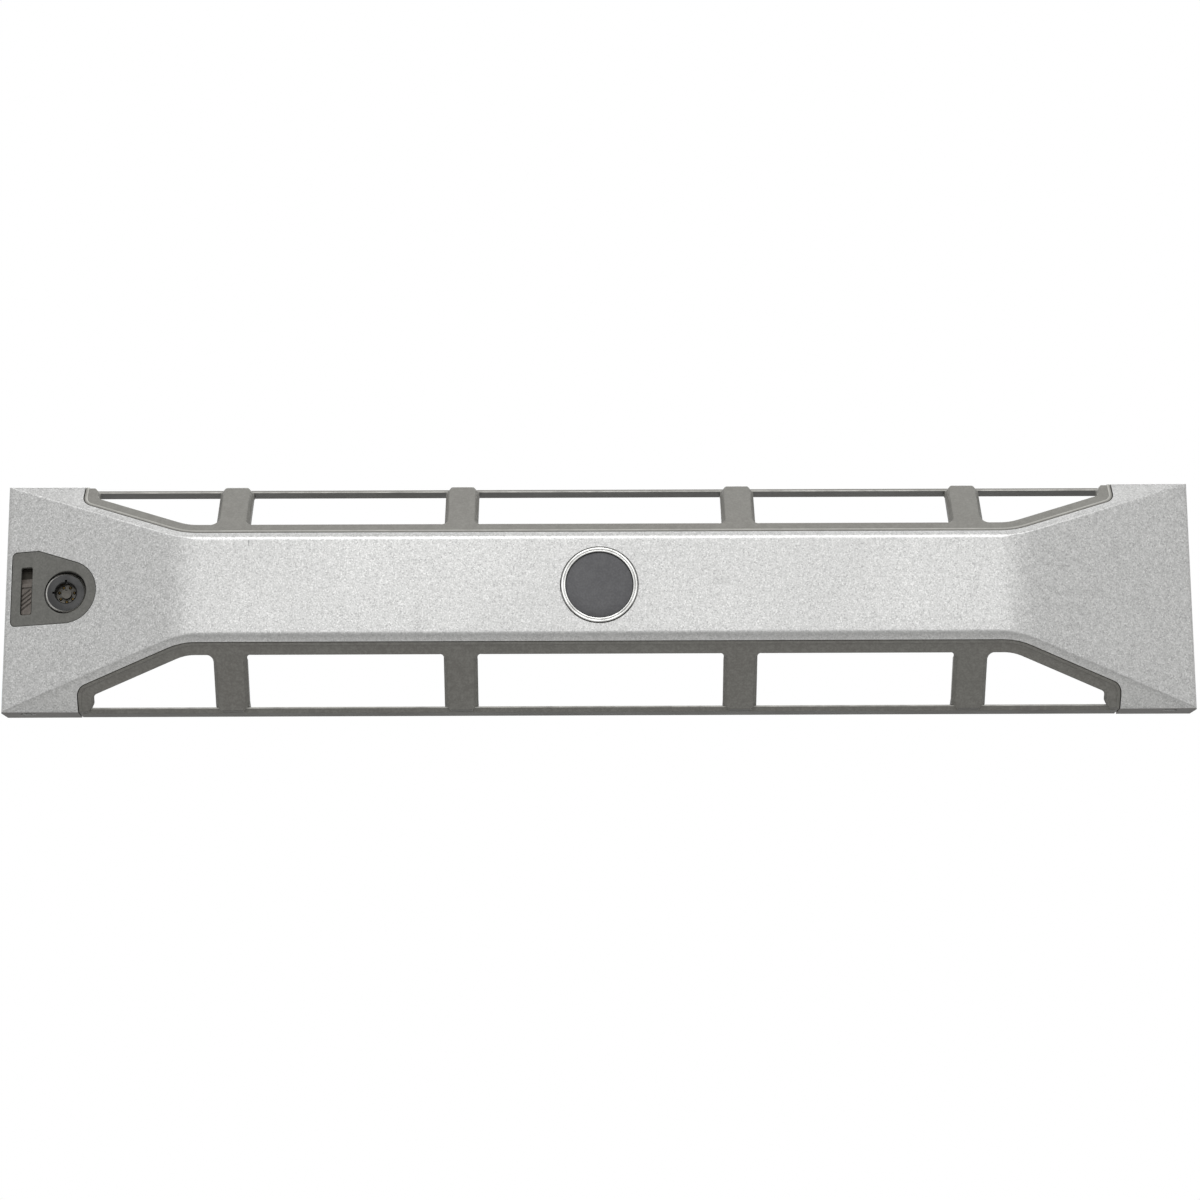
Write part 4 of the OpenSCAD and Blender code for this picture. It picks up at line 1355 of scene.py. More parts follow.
@dataclass
class Shell:
    """The painted front shell."""

    roof: "RoofSection" = field(default_factory=lambda: RoofSection())
    half_w: float = 223.0 * MM
    bend_x: float = 155.0 * MM
    facet_ratio: float = 20.0 / 68.0
    bend_round: float = 50.0 * MM
    band_round: float = 3.0 * MM
    crease_blend: float = 0.45 * MM
    blend_fade: float = 4.0 * MM
    paint_turn: float = 0.35
    finish: PaintedShell = PaintedShell(
        "silver paint",
        Slot.SHELL,
        tone(179, 179, 178),
        roughness=0.38,
        metallic=0.6,
        edge_radius=0.0004,
        marks=(
            StrokeMark(-0.1298, 0.0165, 1.45, 0.0016, 0.0004, 0.8),
            StrokeMark(-0.0990, 0.0125, 1.5, 0.0040, 0.0006, 0.14, 0.9),
            StrokeMark(0.0455, 0.0015, 0.15, 0.0070, 0.0028, 0.12, 1.0),
            StrokeMark(0.1385, -0.0020, 1.3, 0.0100, 0.0026, 0.14, 1.0),
        ),
    )

    def build(self, builder: Builder) -> None:
        """Builds and dresses the shell.

        Args:
            builder: Shared tools.
        """
        piece = self.refined_copy()
        self.smooth_skin(piece.data)
        self.mask_paint(piece.data)
        builder.settle(piece, self.finish, Body.BEZEL, "front_shell")

    def refined_copy(self) -> bpy.types.Object:
        """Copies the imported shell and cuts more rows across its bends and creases.

        Returns:
            The object.
        """
        work = bmesh.new()
        work.from_mesh(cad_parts["front_shell"].data)
        bmesh.ops.remove_doubles(work, verts=work.verts, dist=1e-5)
        bmesh.ops.dissolve_limit(
            work, angle_limit=math.radians(0.2), verts=work.verts, edges=work.edges
        )
        rows = [
            (axis, side * (place + step))
            for axis, place, ratio, radius in (
                (0, self.bend_x, self.facet_ratio, self.bend_round),
                (2, self.roof.band_half, self.roof.ratio, self.band_round),
            )
            for step in np.linspace(*fillet_span(ratio, radius), 9)
            for side in (-1.0, 1.0)
        ]
        rows += [(2, 0.0), (0, self.bend_x - 18.0 * MM), (0, 18.0 * MM - self.bend_x)]
        for axis, place in rows:
            point, normal = [0.0, 0.0, 0.0], [0.0, 0.0, 0.0]
            point[axis], normal[axis] = place, 1.0
            bmesh.ops.bisect_plane(
                work,
                geom=work.verts[:] + work.edges[:] + work.faces[:],
                dist=5e-6,
                plane_co=point,
                plane_no=normal,
            )
        for side_x in (-1.0, 1.0):
            for side_z in (-1.0, 1.0):
                self.cut_along_crease(work, side_x, side_z)
        data = bpy.data.meshes.new("shell")
        work.to_mesh(data)
        work.free()
        return shown(data, "shell", 30.0)

    def cut_along_crease(self, work: bmesh.types.BMesh, side_x: float, side_z: float) -> None:
        """Cuts rows beside the crease between slope and end face in one quarter.

        A row lies where the end face's depth less the slope's depth is a share of the blend.

        Args:
            work: The mesh.
            side_x: 1 at the right, -1 at the left.
            side_z: 1 above the band, -1 below it.
        """
        roof = self.roof
        for share in (-1.0, -0.5, 0.0, 0.5, 1.0):
            x = self.bend_x + share * self.crease_blend / self.facet_ratio
            near = [
                face
                for face in work.faces
                if all(
                    v.co.x * side_x > self.bend_x - 20.0 * MM and v.co.z * side_z > -MM
                    for v in face.verts
                )
            ]
            parts = {item for face in near for item in (face, *face.edges, *face.verts)}
            bmesh.ops.bisect_plane(
                work,
                geom=list(parts),
                dist=5e-6,
                plane_co=(side_x * x, 0.0, side_z * roof.band_half),
                plane_no=(side_x * self.facet_ratio, 0.0, -side_z * roof.ratio),
            )

    def skin(self, x: np.ndarray, z: np.ndarray, blend: float) -> np.ndarray:
        """Depth y of the outer face.

        The plan is the band and the end faces with a fillet between them, the section the band
        and the slopes with a fillet. The deeper of the two counts, and within a depth w of
        each other (w - |difference|)^2 / 4w is added, which rounds off the crease.

        Args:
            x: Places across.
            z: Heights.
            blend: Depth w, which fades out towards the band.

        Returns:
            Depths.
        """
        plan = fillet(np.abs(x) - self.bend_x, self.facet_ratio, self.bend_round)
        section = fillet(np.abs(z) - self.roof.band_half, self.roof.ratio, self.band_round)
        both = np.minimum(plan, section)
        w = np.maximum(blend * np.clip(both / self.blend_fade, 0.0, 1.0), 1e-9)
        near = np.maximum(w - np.abs(plan - section), 0.0)
        return np.maximum(plan, section) + near**2 / (4.0 * w) - self.roof.body_d

    def smooth_skin(self, data: bpy.types.Mesh) -> None:
        """Moves the outer skin onto its smooth formula and gives it that formula's normals.

        Args:
            data: The shell's mesh.
        """
        place = np.zeros(len(data.vertices) * 3)
        data.vertices.foreach_get("co", place)
        place = place.reshape(-1, 3)
        x, y, z = place.T
        ahead = y - self.skin(x, z, 0.0)
        inside = (np.abs(x) < self.half_w - 1.6 * MM) & (np.abs(z) < self.roof.half_h - 1.1 * MM)
        outer = inside & (ahead > -0.03 * MM) & (ahead < 0.3 * MM)
        place[outer, 1] = self.skin(x[outer], z[outer], self.crease_blend)
        data.vertices.foreach_set("co", place.ravel())
        data.update()
        step = 0.02 * MM
        slope_x = self.skin(x + step, z, self.crease_blend) - self.skin(x - step, z, self.crease_blend)
        slope_z = self.skin(x, z + step, self.crease_blend) - self.skin(x, z - step, self.crease_blend)
        normal = np.stack([slope_x, np.full_like(x, -2.0 * step), slope_z], 1)
        normal /= np.linalg.norm(normal, axis=1, keepdims=True)
        corner = np.zeros(len(data.loops) * 3)
        data.corner_normals.foreach_get("vector", corner)
        corner = corner.reshape(-1, 3)
        vertex = np.zeros(len(data.loops), np.int32)
        data.loops.foreach_get("vertex_index", vertex)
        facing = np.zeros(len(data.polygons) * 3)
        data.polygons.foreach_get("normal", facing)
        size = np.zeros(len(data.polygons), np.int32)
        data.polygons.foreach_get("loop_total", size)
        facing = np.repeat(facing.reshape(-1, 3), size, axis=0)
        known = outer[vertex] & ((facing * normal[vertex]).sum(1) > 0.9)
        corner[known] = normal[vertex][known]
        data.normals_split_custom_set(corner)
        self.mark_lines(data, place, vertex, known)

    def mark_lines(
        self, data: bpy.types.Mesh, place: np.ndarray, vertex: np.ndarray, known: np.ndarray
    ) -> None:
        """Writes painted shade along the lower creases and a painted highlight along the openings' rims.

        The painted crease shade is a bell curve of the distance from the crease between band and slope, and a
        weaker one of the difference between the depths of end face and slope.

        Args:
            data: The shell's mesh.
            place: Its vertices.
            vertex: Vertex of each corner.
            known: Whether a corner lies on the outer skin.
        """
        x, _, z = place.T
        plan = fillet(np.abs(x) - self.bend_x, self.facet_ratio, self.bend_round)
        section = fillet(np.abs(z) - self.roof.band_half, self.roof.ratio, self.band_round)
        # Painted shade along the lower creases and hips.
        crease = np.exp(-(((np.abs(z) - self.roof.band_half - 0.2 * MM) / (0.8 * MM)) ** 2))
        hip = 0.6 * np.exp(-(((plan - section) / (0.35 * MM)) ** 2))
        painted_crease_shade = np.where(np.abs(x) < self.bend_x, crease, hip) * (z < 0.0)
        skin, wall = np.zeros(len(place), bool), np.zeros(len(place), bool)
        skin[vertex[known]] = True
        wall[vertex[~known]] = True
        # Painted highlight where the outer skin meets the openings' walls.
        painted_rim_highlight = skin & wall & (np.abs(x) < 194.5 * MM) & (np.abs(z) > 19.0 * MM)
        for name, value in (("painted_crease_shade", painted_crease_shade), ("painted_rim_highlight", painted_rim_highlight)):
            layer = data.attributes.new(name, "FLOAT", "POINT")
            layer.data.foreach_set("value", value.astype(np.float32))

    def mask_paint(self, data: bpy.types.Mesh) -> None:
        """Writes the share of paint on each corner: 1 where a face looks forward or sideways.

        The level walls at the top and bottom and everything behind are bare plastic, as on a
        part that is sprayed from the front.

        Args:
            data: The shell's mesh.
        """
        count = len(data.polygons)
        normal = np.zeros(count * 3)
        centre = np.zeros(count * 3)
        data.polygons.foreach_get("normal", normal)
        data.polygons.foreach_get("center", centre)
        normal, centre = normal.reshape(-1, 3), centre.reshape(-1, 3)
        low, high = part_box("front_shell")
        outer = np.abs(centre[:, 0]) > high.x - 2.2 * MM
        sideways = outer & (np.sign(normal[:, 0]) == np.sign(centre[:, 0]))
        sideways &= np.abs(normal[:, 0]) > 0.9
        painted = (normal[:, 1] < -self.paint_turn) | sideways
        mask = data.attributes.new("paint", "FLOAT", "FACE")
        mask.data.foreach_set("value", painted.astype(np.float32))


@dataclass(frozen=True)
class RoofSection:
    """Cross section of the bezel from the band's crease up the slope and back over the edge."""

    body_d: float = 30.0 * MM
    edge_d: float = 10.0 * MM
    band_half: float = 18.3 * MM
    half_h: float = 43.4 * MM
    edge_round: float = 1.5 * MM

    @property
    def ratio(self) -> float:
        """Run towards the rear for each metre of height."""
        return (self.body_d - self.edge_d) / (self.half_h - self.band_half)

    @property
    def start(self) -> float:
        """Angle of the slope from upright."""
        return math.atan(self.ratio)

    @property
    def turn(self) -> float:
        """Angle by which the edge turns into the top."""
        return math.pi / 2.0 - self.start

    @property
    def straight(self) -> float:
        """Length of the slope up to its rounded edge."""
        corner = (self.half_h - self.band_half) / math.cos(self.start)
        return corner - self.edge_round * math.tan(self.turn / 2.0)

    @property
    def levels(self) -> np.ndarray:
        """Lengths at which the edge bends."""
        return self.straight + self.edge_round * self.turn * np.linspace(0.0, 1.0, 5)

    @property
    def full(self) -> float:
        """Length up to the rear."""
        return self.levels[-1] + self.edge_d - self.edge_round * math.tan(self.turn / 2.0)

    def along(self, z: np.ndarray | float) -> np.ndarray | float:
        """Length along the slope up to a height."""
        return (z - self.band_half) / math.cos(self.start)

    def behind(self, z: float, t: float) -> float:
        """Depth y of the slope at a height, t below its surface."""
        return self.ratio * (z - self.band_half) - self.body_d + t / math.cos(self.start)

    def point(self, x: np.ndarray, s: np.ndarray, t: np.ndarray, side: float) -> np.ndarray:
        """Place at x, the length s along the section and t below its surface.

        The section is a straight slope, an arc and a level top. Below the arc's centre the
        arc shrinks to the corner where the two inner faces meet.

        Args:
            x: Place across the bezel.
            s: Length along the section.
            t: Depth below the surface.
            side: 1 above the band, -1 below it.

        Returns:
            Places in space.
        """
        angle = self.start + np.clip((s - self.straight) / self.edge_round, 0.0, self.turn)
        run = np.minimum(s, self.straight)
        top = np.maximum(s - self.straight - self.edge_round * self.turn, 0.0)
        z = self.band_half + run * math.cos(self.start) - t * np.sin(angle)
        z = z + self.edge_round * (np.sin(angle) - math.sin(self.start))
        y = -self.body_d + run * math.sin(self.start) + top + t * np.cos(angle)
        y = y - self.edge_round * (np.cos(angle) - math.cos(self.start))
        corner_z = self.half_h - t
        corner_y = self.ratio * (corner_z - self.band_half) - self.body_d + t / math.cos(self.start)
        deep = t > self.edge_round
        bent = (s > self.straight) & (top <= 0.0)
        past = bent | ((s <= self.straight) & (z > corner_z))
        z = np.where(deep & past, corner_z, z)
        y = np.where(deep & past, corner_y, np.where(deep & (top > 0.0), np.maximum(y, corner_y), y))
        return np.stack([x + 0.0 * y, y, side * z], -1)


@dataclass
class WindowFrame:
    """The dark frame: strips and bars with softened edges, rails, walls and the web behind."""

    roof: RoofSection = RoofSection()
    half_w: float = 223.0 * MM
    bend_inset: float = 68.0 * MM
    wrap: float = 3.1 * MM
    strip: float = 5.8 * MM
    end_w: float = 29.0 * MM
    end_post: float = 6.0 * MM
    seam: float = 0.25 * MM
    recess: float = 0.05 * MM
    wall: float = 2.55 * MM
    left_bars: tuple[float, float] = (51.4 * MM, 136.6 * MM)
    right_bars: tuple[float, float] = (52.2 * MM, 137.4 * MM)
    bar_w: float = 12.5 * MM
    shoulder: float = 1.0 * MM
    window_edge: float = 0.35 * MM
    bar_edge: float = 1.35 * MM
    chamfer_fall: float = 1.5
    lip_w: float = 1.2 * MM
    lip_h: float = 0.3 * MM
    window_round: float = 1.6 * MM
    rail_low: float = 41.25 * MM
    rail_top: tuple[float, float] = (42.4 * MM, 43.3 * MM)
    rail_lip: float = 0.45 * MM
    rail_d: float = 8.2 * MM
    flange_w: float = 1.4 * MM
    flange_d: float = 2.4 * MM
    lap: float = 0.4 * MM
    web_t: float = 2.2 * MM
    web_half: float = 148.0 * MM
    web_z: float = 23.39 * MM
    web_y: float = -25.11 * MM
    screw_x: tuple[float, ...] = (-135.0 * MM, -45.0 * MM, 45.0 * MM, 135.0 * MM)
    screw_z: float = 12.0 * MM
    screw_hole: float = 1.6 * MM
    clip_hole: float = 9.0 * MM
    finish: MouldedPlastic = MouldedPlastic(
        "frame plastic",
        Slot.FRAME,
        tone(97, 96, 91),
        roughness=0.5,
        light=tone(128, 127, 122),
        tint=tone(94, 90, 86),
        edge_radius=0.00015,
        # Pale dust with painted top light, and painted shade on faces that look straight down.
        dust_and_top_light_mix=0.28,
        painted_under_shade_mix=0.6,
    )

    def build(self, builder: Builder) -> None:
        """Builds and dresses the frame.

        Args:
            builder: Shared tools.
        """
        parts = [self.web()]
        for side in (1.0, -1.0):
            parts += [self.comb(side), self.rail(side)]
            parts += [self.end_wall(side, end) for end in (1.0, -1.0)]
            for bar in (*self.right_bars, *(-x for x in self.left_bars)):
                parts += [
                    self.flange(side, bar - self.bar_w / 2.0),
                    self.flange(side, bar + self.bar_w / 2.0 - self.flange_w),
                ]
        piece = keep_flats_flat(Surface.join(parts).mesh("window_frame_skin", 40.0))
        builder.settle(piece, self.finish, Body.BEZEL, "window_frame")

    def comb(self, side: float) -> Surface:
        """Strip, bars and end posts of one side in one plate, bent over the outer edge.

        Args:
            side: 1 above the band, -1 below it.

        Returns:
            The surface.
        """
        roof = self.roof
        hip = self.bend_inset * roof.ratio / (roof.body_d - roof.edge_d)
        climb = 1.0 / hip
        slant = 1.0 / math.cos(roof.start)
        stretch = math.hypot(1.0, climb * slant) / slant
        bend = self.half_w - self.bend_inset
        end = self.half_w - self.end_w - self.seam
        post = self.half_w - self.end_w - self.end_post
        top = roof.band_half + roof.full * math.cos(roof.start)

        def hip_z(x: float, width: float, grow: float = 0.0) -> float:
            """Height of a line beside the crease between slope and end face."""
            shift = roof.band_half + width * stretch + grow * math.hypot(1.0, climb)
            return shift + climb * (x - bend)

        band = roof.band_half + self.wrap / slant + self.seam
        strip = roof.band_half + (self.wrap + self.strip) / slant
        meet = bend + (band - hip_z(bend, self.wrap, self.seam)) * hip
        inner = bend + (strip - hip_z(bend, self.wrap + self.strip)) * hip
        half, narrow = self.bar_w / 2.0, self.bar_w / 2.0 - self.shoulder
        high = roof.band_half + (roof.straight - self.shoulder) * math.cos(roof.start)
        turned = roof.band_half + (roof.straight + roof.edge_round * roof.turn) * math.cos(roof.start)
        seam, post_side, window, bar_side = -1.0, 0.9 * MM, self.window_edge, self.bar_edge

        def half_outline(inner_bar: float, outer_bar: float) -> list[tuple[float, float, float, float]]:
            """Corners of one half: place across, height, radius and edge of the side that follows."""
            corners = [
                (meet, band, 30.0 * MM - self.seam, seam),
                (end, hip_z(end, self.wrap, self.seam), 4.5 * MM - self.seam, seam),
                (end, top, 0.0, window),
                (post + 1.6 * MM, top, 0.0, post_side),
                (post + 1.6 * MM, turned, 0.0, post_side),
                (post, high - 0.8 * MM, 0.9 * MM, post_side),
                (post, hip_z(post, self.wrap + self.strip), 2.2 * MM, window),
                (inner, strip, 20.0 * MM, window),
            ]
            for bar, foot in ((outer_bar, 2.8 * MM), (inner_bar, self.window_round)):
                corners += [
                    (bar + half, strip, foot, bar_side),
                    (bar + half, high, 1.5 * MM, bar_side),
                    (bar + narrow, turned, 0.0, bar_side),
                    (bar + narrow, top, 0.0, window),
                    (bar - narrow, top, 0.0, bar_side),
                    (bar - narrow, turned, 0.0, bar_side),
                    (bar - half, high, 1.5 * MM, bar_side),
                    (bar - half, strip, self.window_round, window),
                ]
            return corners

        right = half_outline(*self.right_bars)
        left = half_outline(*self.left_bars)
        sides = [c[3] for c in right] + [c[3] for c in reversed(left[:-1])] + [seam]
        corners = [c[:3] for c in right] + [(-x, z, r) for x, z, r, _ in reversed(left)]
        before = [sides[-1]] + sides[:-1]
        steps = 6
        loop = rounded_loop(corners, steps)
        edge = np.concatenate(
            [np.linspace(a, b, steps + 1) if c[2] > 0 else np.array([b]) for c, a, b in zip(corners, before, sides)]
        )
        loop = np.column_stack([loop[:, 0], roof.along(loop[:, 1]), edge])
        plate = slab(
            [loop],
            self.wall,
            lambda x, s, t: roof.point(x, s, t + self.recess, side),
            levels=roof.levels,
            profile=self.edge_profile,
        )
        # Painted highlight along the seam lip of the upper strips only, which face the light.
        if side > 0.0:
            count = (len(plate.points)) // 6
            plate.painted_highlight[count : 2 * count] = 0.75 * self.on_seam
        return plate

    def edge_profile(self, kind: np.ndarray) -> list[tuple[np.ndarray, np.ndarray]]:
        """Edge of the plate: a raised lip along the seam, a straight chamfer along the windows.

        Args:
            kind: Below 0 along the seam, otherwise the width of the chamfer.

        Returns:
            Inset and depth of each ring, from the outside in.
        """
        lip = kind < 0.0
        self.on_seam = lip.astype(float)
        wide = np.maximum(kind, 0.05 * MM)
        drop = np.minimum(self.chamfer_fall * wide, self.wall - self.lip_h - 0.1 * MM)
        rows = ((0.0, 0.3, 0.0, 1.0), (0.12, 0.06, 0.5, 0.48), (0.35, 0.0, 0.92, 0.06))
        rings = [
            (np.where(lip, a * MM, c * wide), np.where(lip, b * MM, self.lip_h + d * drop))
            for a, b, c, d in rows
        ]
        rings.append((np.where(lip, self.lip_w, 1.08 * wide), np.where(lip, 0.0, self.lip_h)))
        flat = np.full_like(kind, self.lip_h)
        rings.append((np.where(lip, self.lip_w + 0.2 * MM, 1.12 * wide), flat))
        return rings

    def rail(self, side: float) -> Surface:
        """Thin rail along the outer edge: a front lip at the window, then a sloping face.

        Args:
            side: 1 above the band, -1 below it.

        Returns:
            The surface.
        """
        low = self.rail_low
        top = self.rail_top[0 if side > 0.0 else 1]
        front, r, lip = -self.rail_d, 0.12 * MM, self.rail_lip
        section = rounded_loop(
            [
                (front + 0.05 * MM, low, r),
                (0.0, low, r),
                (0.0, top, r),
                (front + (top - low - lip) * self.roof.ratio, top, 0.3 * MM),
                (front + 0.22 * MM, low + lip + 0.12 * MM, 0.0),
                (front, low + lip, 0.05 * MM),
            ],
            3,
        )
        end = self.half_w - self.end_w - self.seam - self.lap
        loop = section * np.array([1.0, side])
        grid = np.stack([np.column_stack([np.full(len(loop), x), loop]) for x in (-end, end)])
        made = Surface.ring_grid(grid, closed=False)
        # Painted highlight along the rail's front lip.
        on_lip = (section[:, 0] < front + 0.1 * MM) & (section[:, 1] < low + lip + 0.02 * MM)
        made.painted_highlight = np.concatenate([on_lip, on_lip, [False, False]]).astype(float)
        return made

    def end_wall(self, side: float, end: float) -> Surface:
        """Wall that runs back at one end.

        Args:
            side: 1 above the band, -1 below it.
            end: 1 at the right, -1 at the left.

        Returns:
            The surface.
        """
        roof = self.roof
        t = self.recess + self.wall - self.lap
        x0 = self.half_w - self.end_w - self.seam - 1.6 * MM
        low, top = 35.55 * MM, roof.half_h - t
        loop = np.array(
            [[roof.behind(low, t), low], [0.0, low], [0.0, top], [roof.behind(top, t), top]]
        )
        return slab(
            [loop],
            1.56 * MM,
            lambda y, z, d: np.stack([end * (x0 + d), y, side * z], -1),
            0.2 * MM,
            steps=2,
        )

    def flange(self, side: float, x0: float) -> Surface:
        """Stiffening flange behind one side of a bar, following the bend.

        Args:
            side: 1 above the band, -1 below it.
            x0: Left face of the flange.

        Returns:
            The surface.
        """
        roof = self.roof
        near = self.recess + self.wall - self.lap
        far = self.recess + self.wall + self.flange_d
        low = roof.band_half + (self.wrap + self.strip) * math.cos(roof.start)
        a, b = roof.half_h - near, roof.half_h - far
        loop = np.array(
            [
                [roof.behind(low, near), low],
                [roof.behind(low, far), low],
                [roof.behind(b, far), b],
                [-8.0 * MM, b],
                [-2.0 * MM, a],
                [roof.behind(a, near), a],
            ]
        )
        inset = 0.02 * MM
        return slab(
            [loop],
            self.flange_w - 2.0 * inset,
            lambda y, z, d: np.stack([x0 + inset + d, y, side * z], -1),
            0.1 * MM,
            steps=2,
        )

    def web(self) -> Surface:
        """Flat web behind the band, with screw holes and the opening for the badge clip."""
        x, z = self.web_half, self.web_z
        outer = rounded_loop([(-x, -z, 0.4 * MM), (x, -z, 0.4 * MM), (x, z, 0.4 * MM), (-x, z, 0.4 * MM)], 3)
        holes = [circle(a, b, self.screw_hole, 24) for a in self.screw_x for b in (-self.screw_z, self.screw_z)]
        holes.append(circle(0.0, 0.0, self.clip_hole, 64))
        return slab(
            [outer] + holes,
            self.web_t,
            lambda u, v, d: np.stack([u, self.web_y + self.web_t - d, v], -1),
            0.25 * MM,
            steps=2,
        )


@dataclass
class Badge:
    """Blank badge: bright ring with a fine groove, disc with a brushed face, push-on clip."""

    radius: float = 14.2 * MM
    ring_w: float = 1.7 * MM
    lip: float = 0.75 * MM
    floor_y: float = -28.6 * MM
    base_h: float = 0.7 * MM
    proud_y: float = -30.5 * MM
    sink: float = 0.55 * MM
    play: float = 0.05 * MM
    stem_r: float = 2.8 * MM
    stem_y: float = -23.4 * MM
    groove: float = 0.4 * MM
    ring_finish: TurnedMetal = TurnedMetal(
        "badge chrome", Slot.CHROME, tone(192, 192, 190), 0.16, 1.0, edge_radius=0.0001,
        dull=tone(120, 120, 118),
    )
    disc_finish: MouldedPlastic = MouldedPlastic(
        "badge face", Slot.BADGE, tone(51, 51, 54), 0.32, light=tone(80, 80, 82),
        tint=tone(47, 47, 50), grain_depth=0.00001, edge_radius=0.0001,
    )

    def build(self, builder: Builder) -> None:
        """Builds and dresses ring and disc.

        Args:
            builder: Shared tools.
        """
        angles = even_angles(160)
        ring = lathe(self.ring_outline(), (0.0, 0.0), angles).outward().mesh("ring", 50.0)
        builder.settle(ring, self.ring_finish, Body.BEZEL, "badge_ring")
        disc = lathe(self.disc_outline(), (0.0, 0.0), even_angles(96)).outward().mesh("disc", 50.0)
        builder.settle(disc, self.disc_finish, Body.BEZEL, "badge_disc")

    def ring_outline(self) -> np.ndarray:
        """Two rounded ridges with a fine groove between them, and a step for the disc's base."""
        inner, step, mid = self.radius - self.ring_w, self.radius - self.lip, self.radius - 0.95 * MM
        top, g = self.proud_y, self.groove
        under = self.floor_y - self.base_h - self.play
        return rounded_loop(
            [
                (inner, under, 0.0),
                (step, under, 0.0),
                (step, self.floor_y, 0.0),
                (self.radius, self.floor_y, 0.0),
                (self.radius, top, 0.34 * MM),
                (mid + 0.2 * MM, top, 0.08 * MM),
                (mid + 0.08 * MM, top + g, 0.0),
                (mid - 0.08 * MM, top + g, 0.0),
                (mid - 0.2 * MM, top, 0.08 * MM),
                (inner, top, 0.3 * MM),
            ],
            5,
        )

    def disc_outline(self) -> np.ndarray:
        """Slightly domed face, rounded rim, wide base and stem."""
        face, base = self.radius - self.ring_w - self.play, self.radius - self.lip - self.play
        top, low = self.proud_y + self.sink, self.floor_y - self.base_h
        points = rounded_loop(
            [
                (0.0, self.stem_y, 0.0),
                (self.stem_r, self.stem_y, 0.4 * MM),
                (self.stem_r, self.floor_y, 0.0),
                (base, self.floor_y, 0.1 * MM),
                (base, low, 0.1 * MM),
                (face, low, 0.0),
                (face, top + 0.12 * MM, 0.25 * MM),
                (0.6 * face, top, 0.0),
                (0.0, top, 0.0),
            ],
            4,
        )
        return points


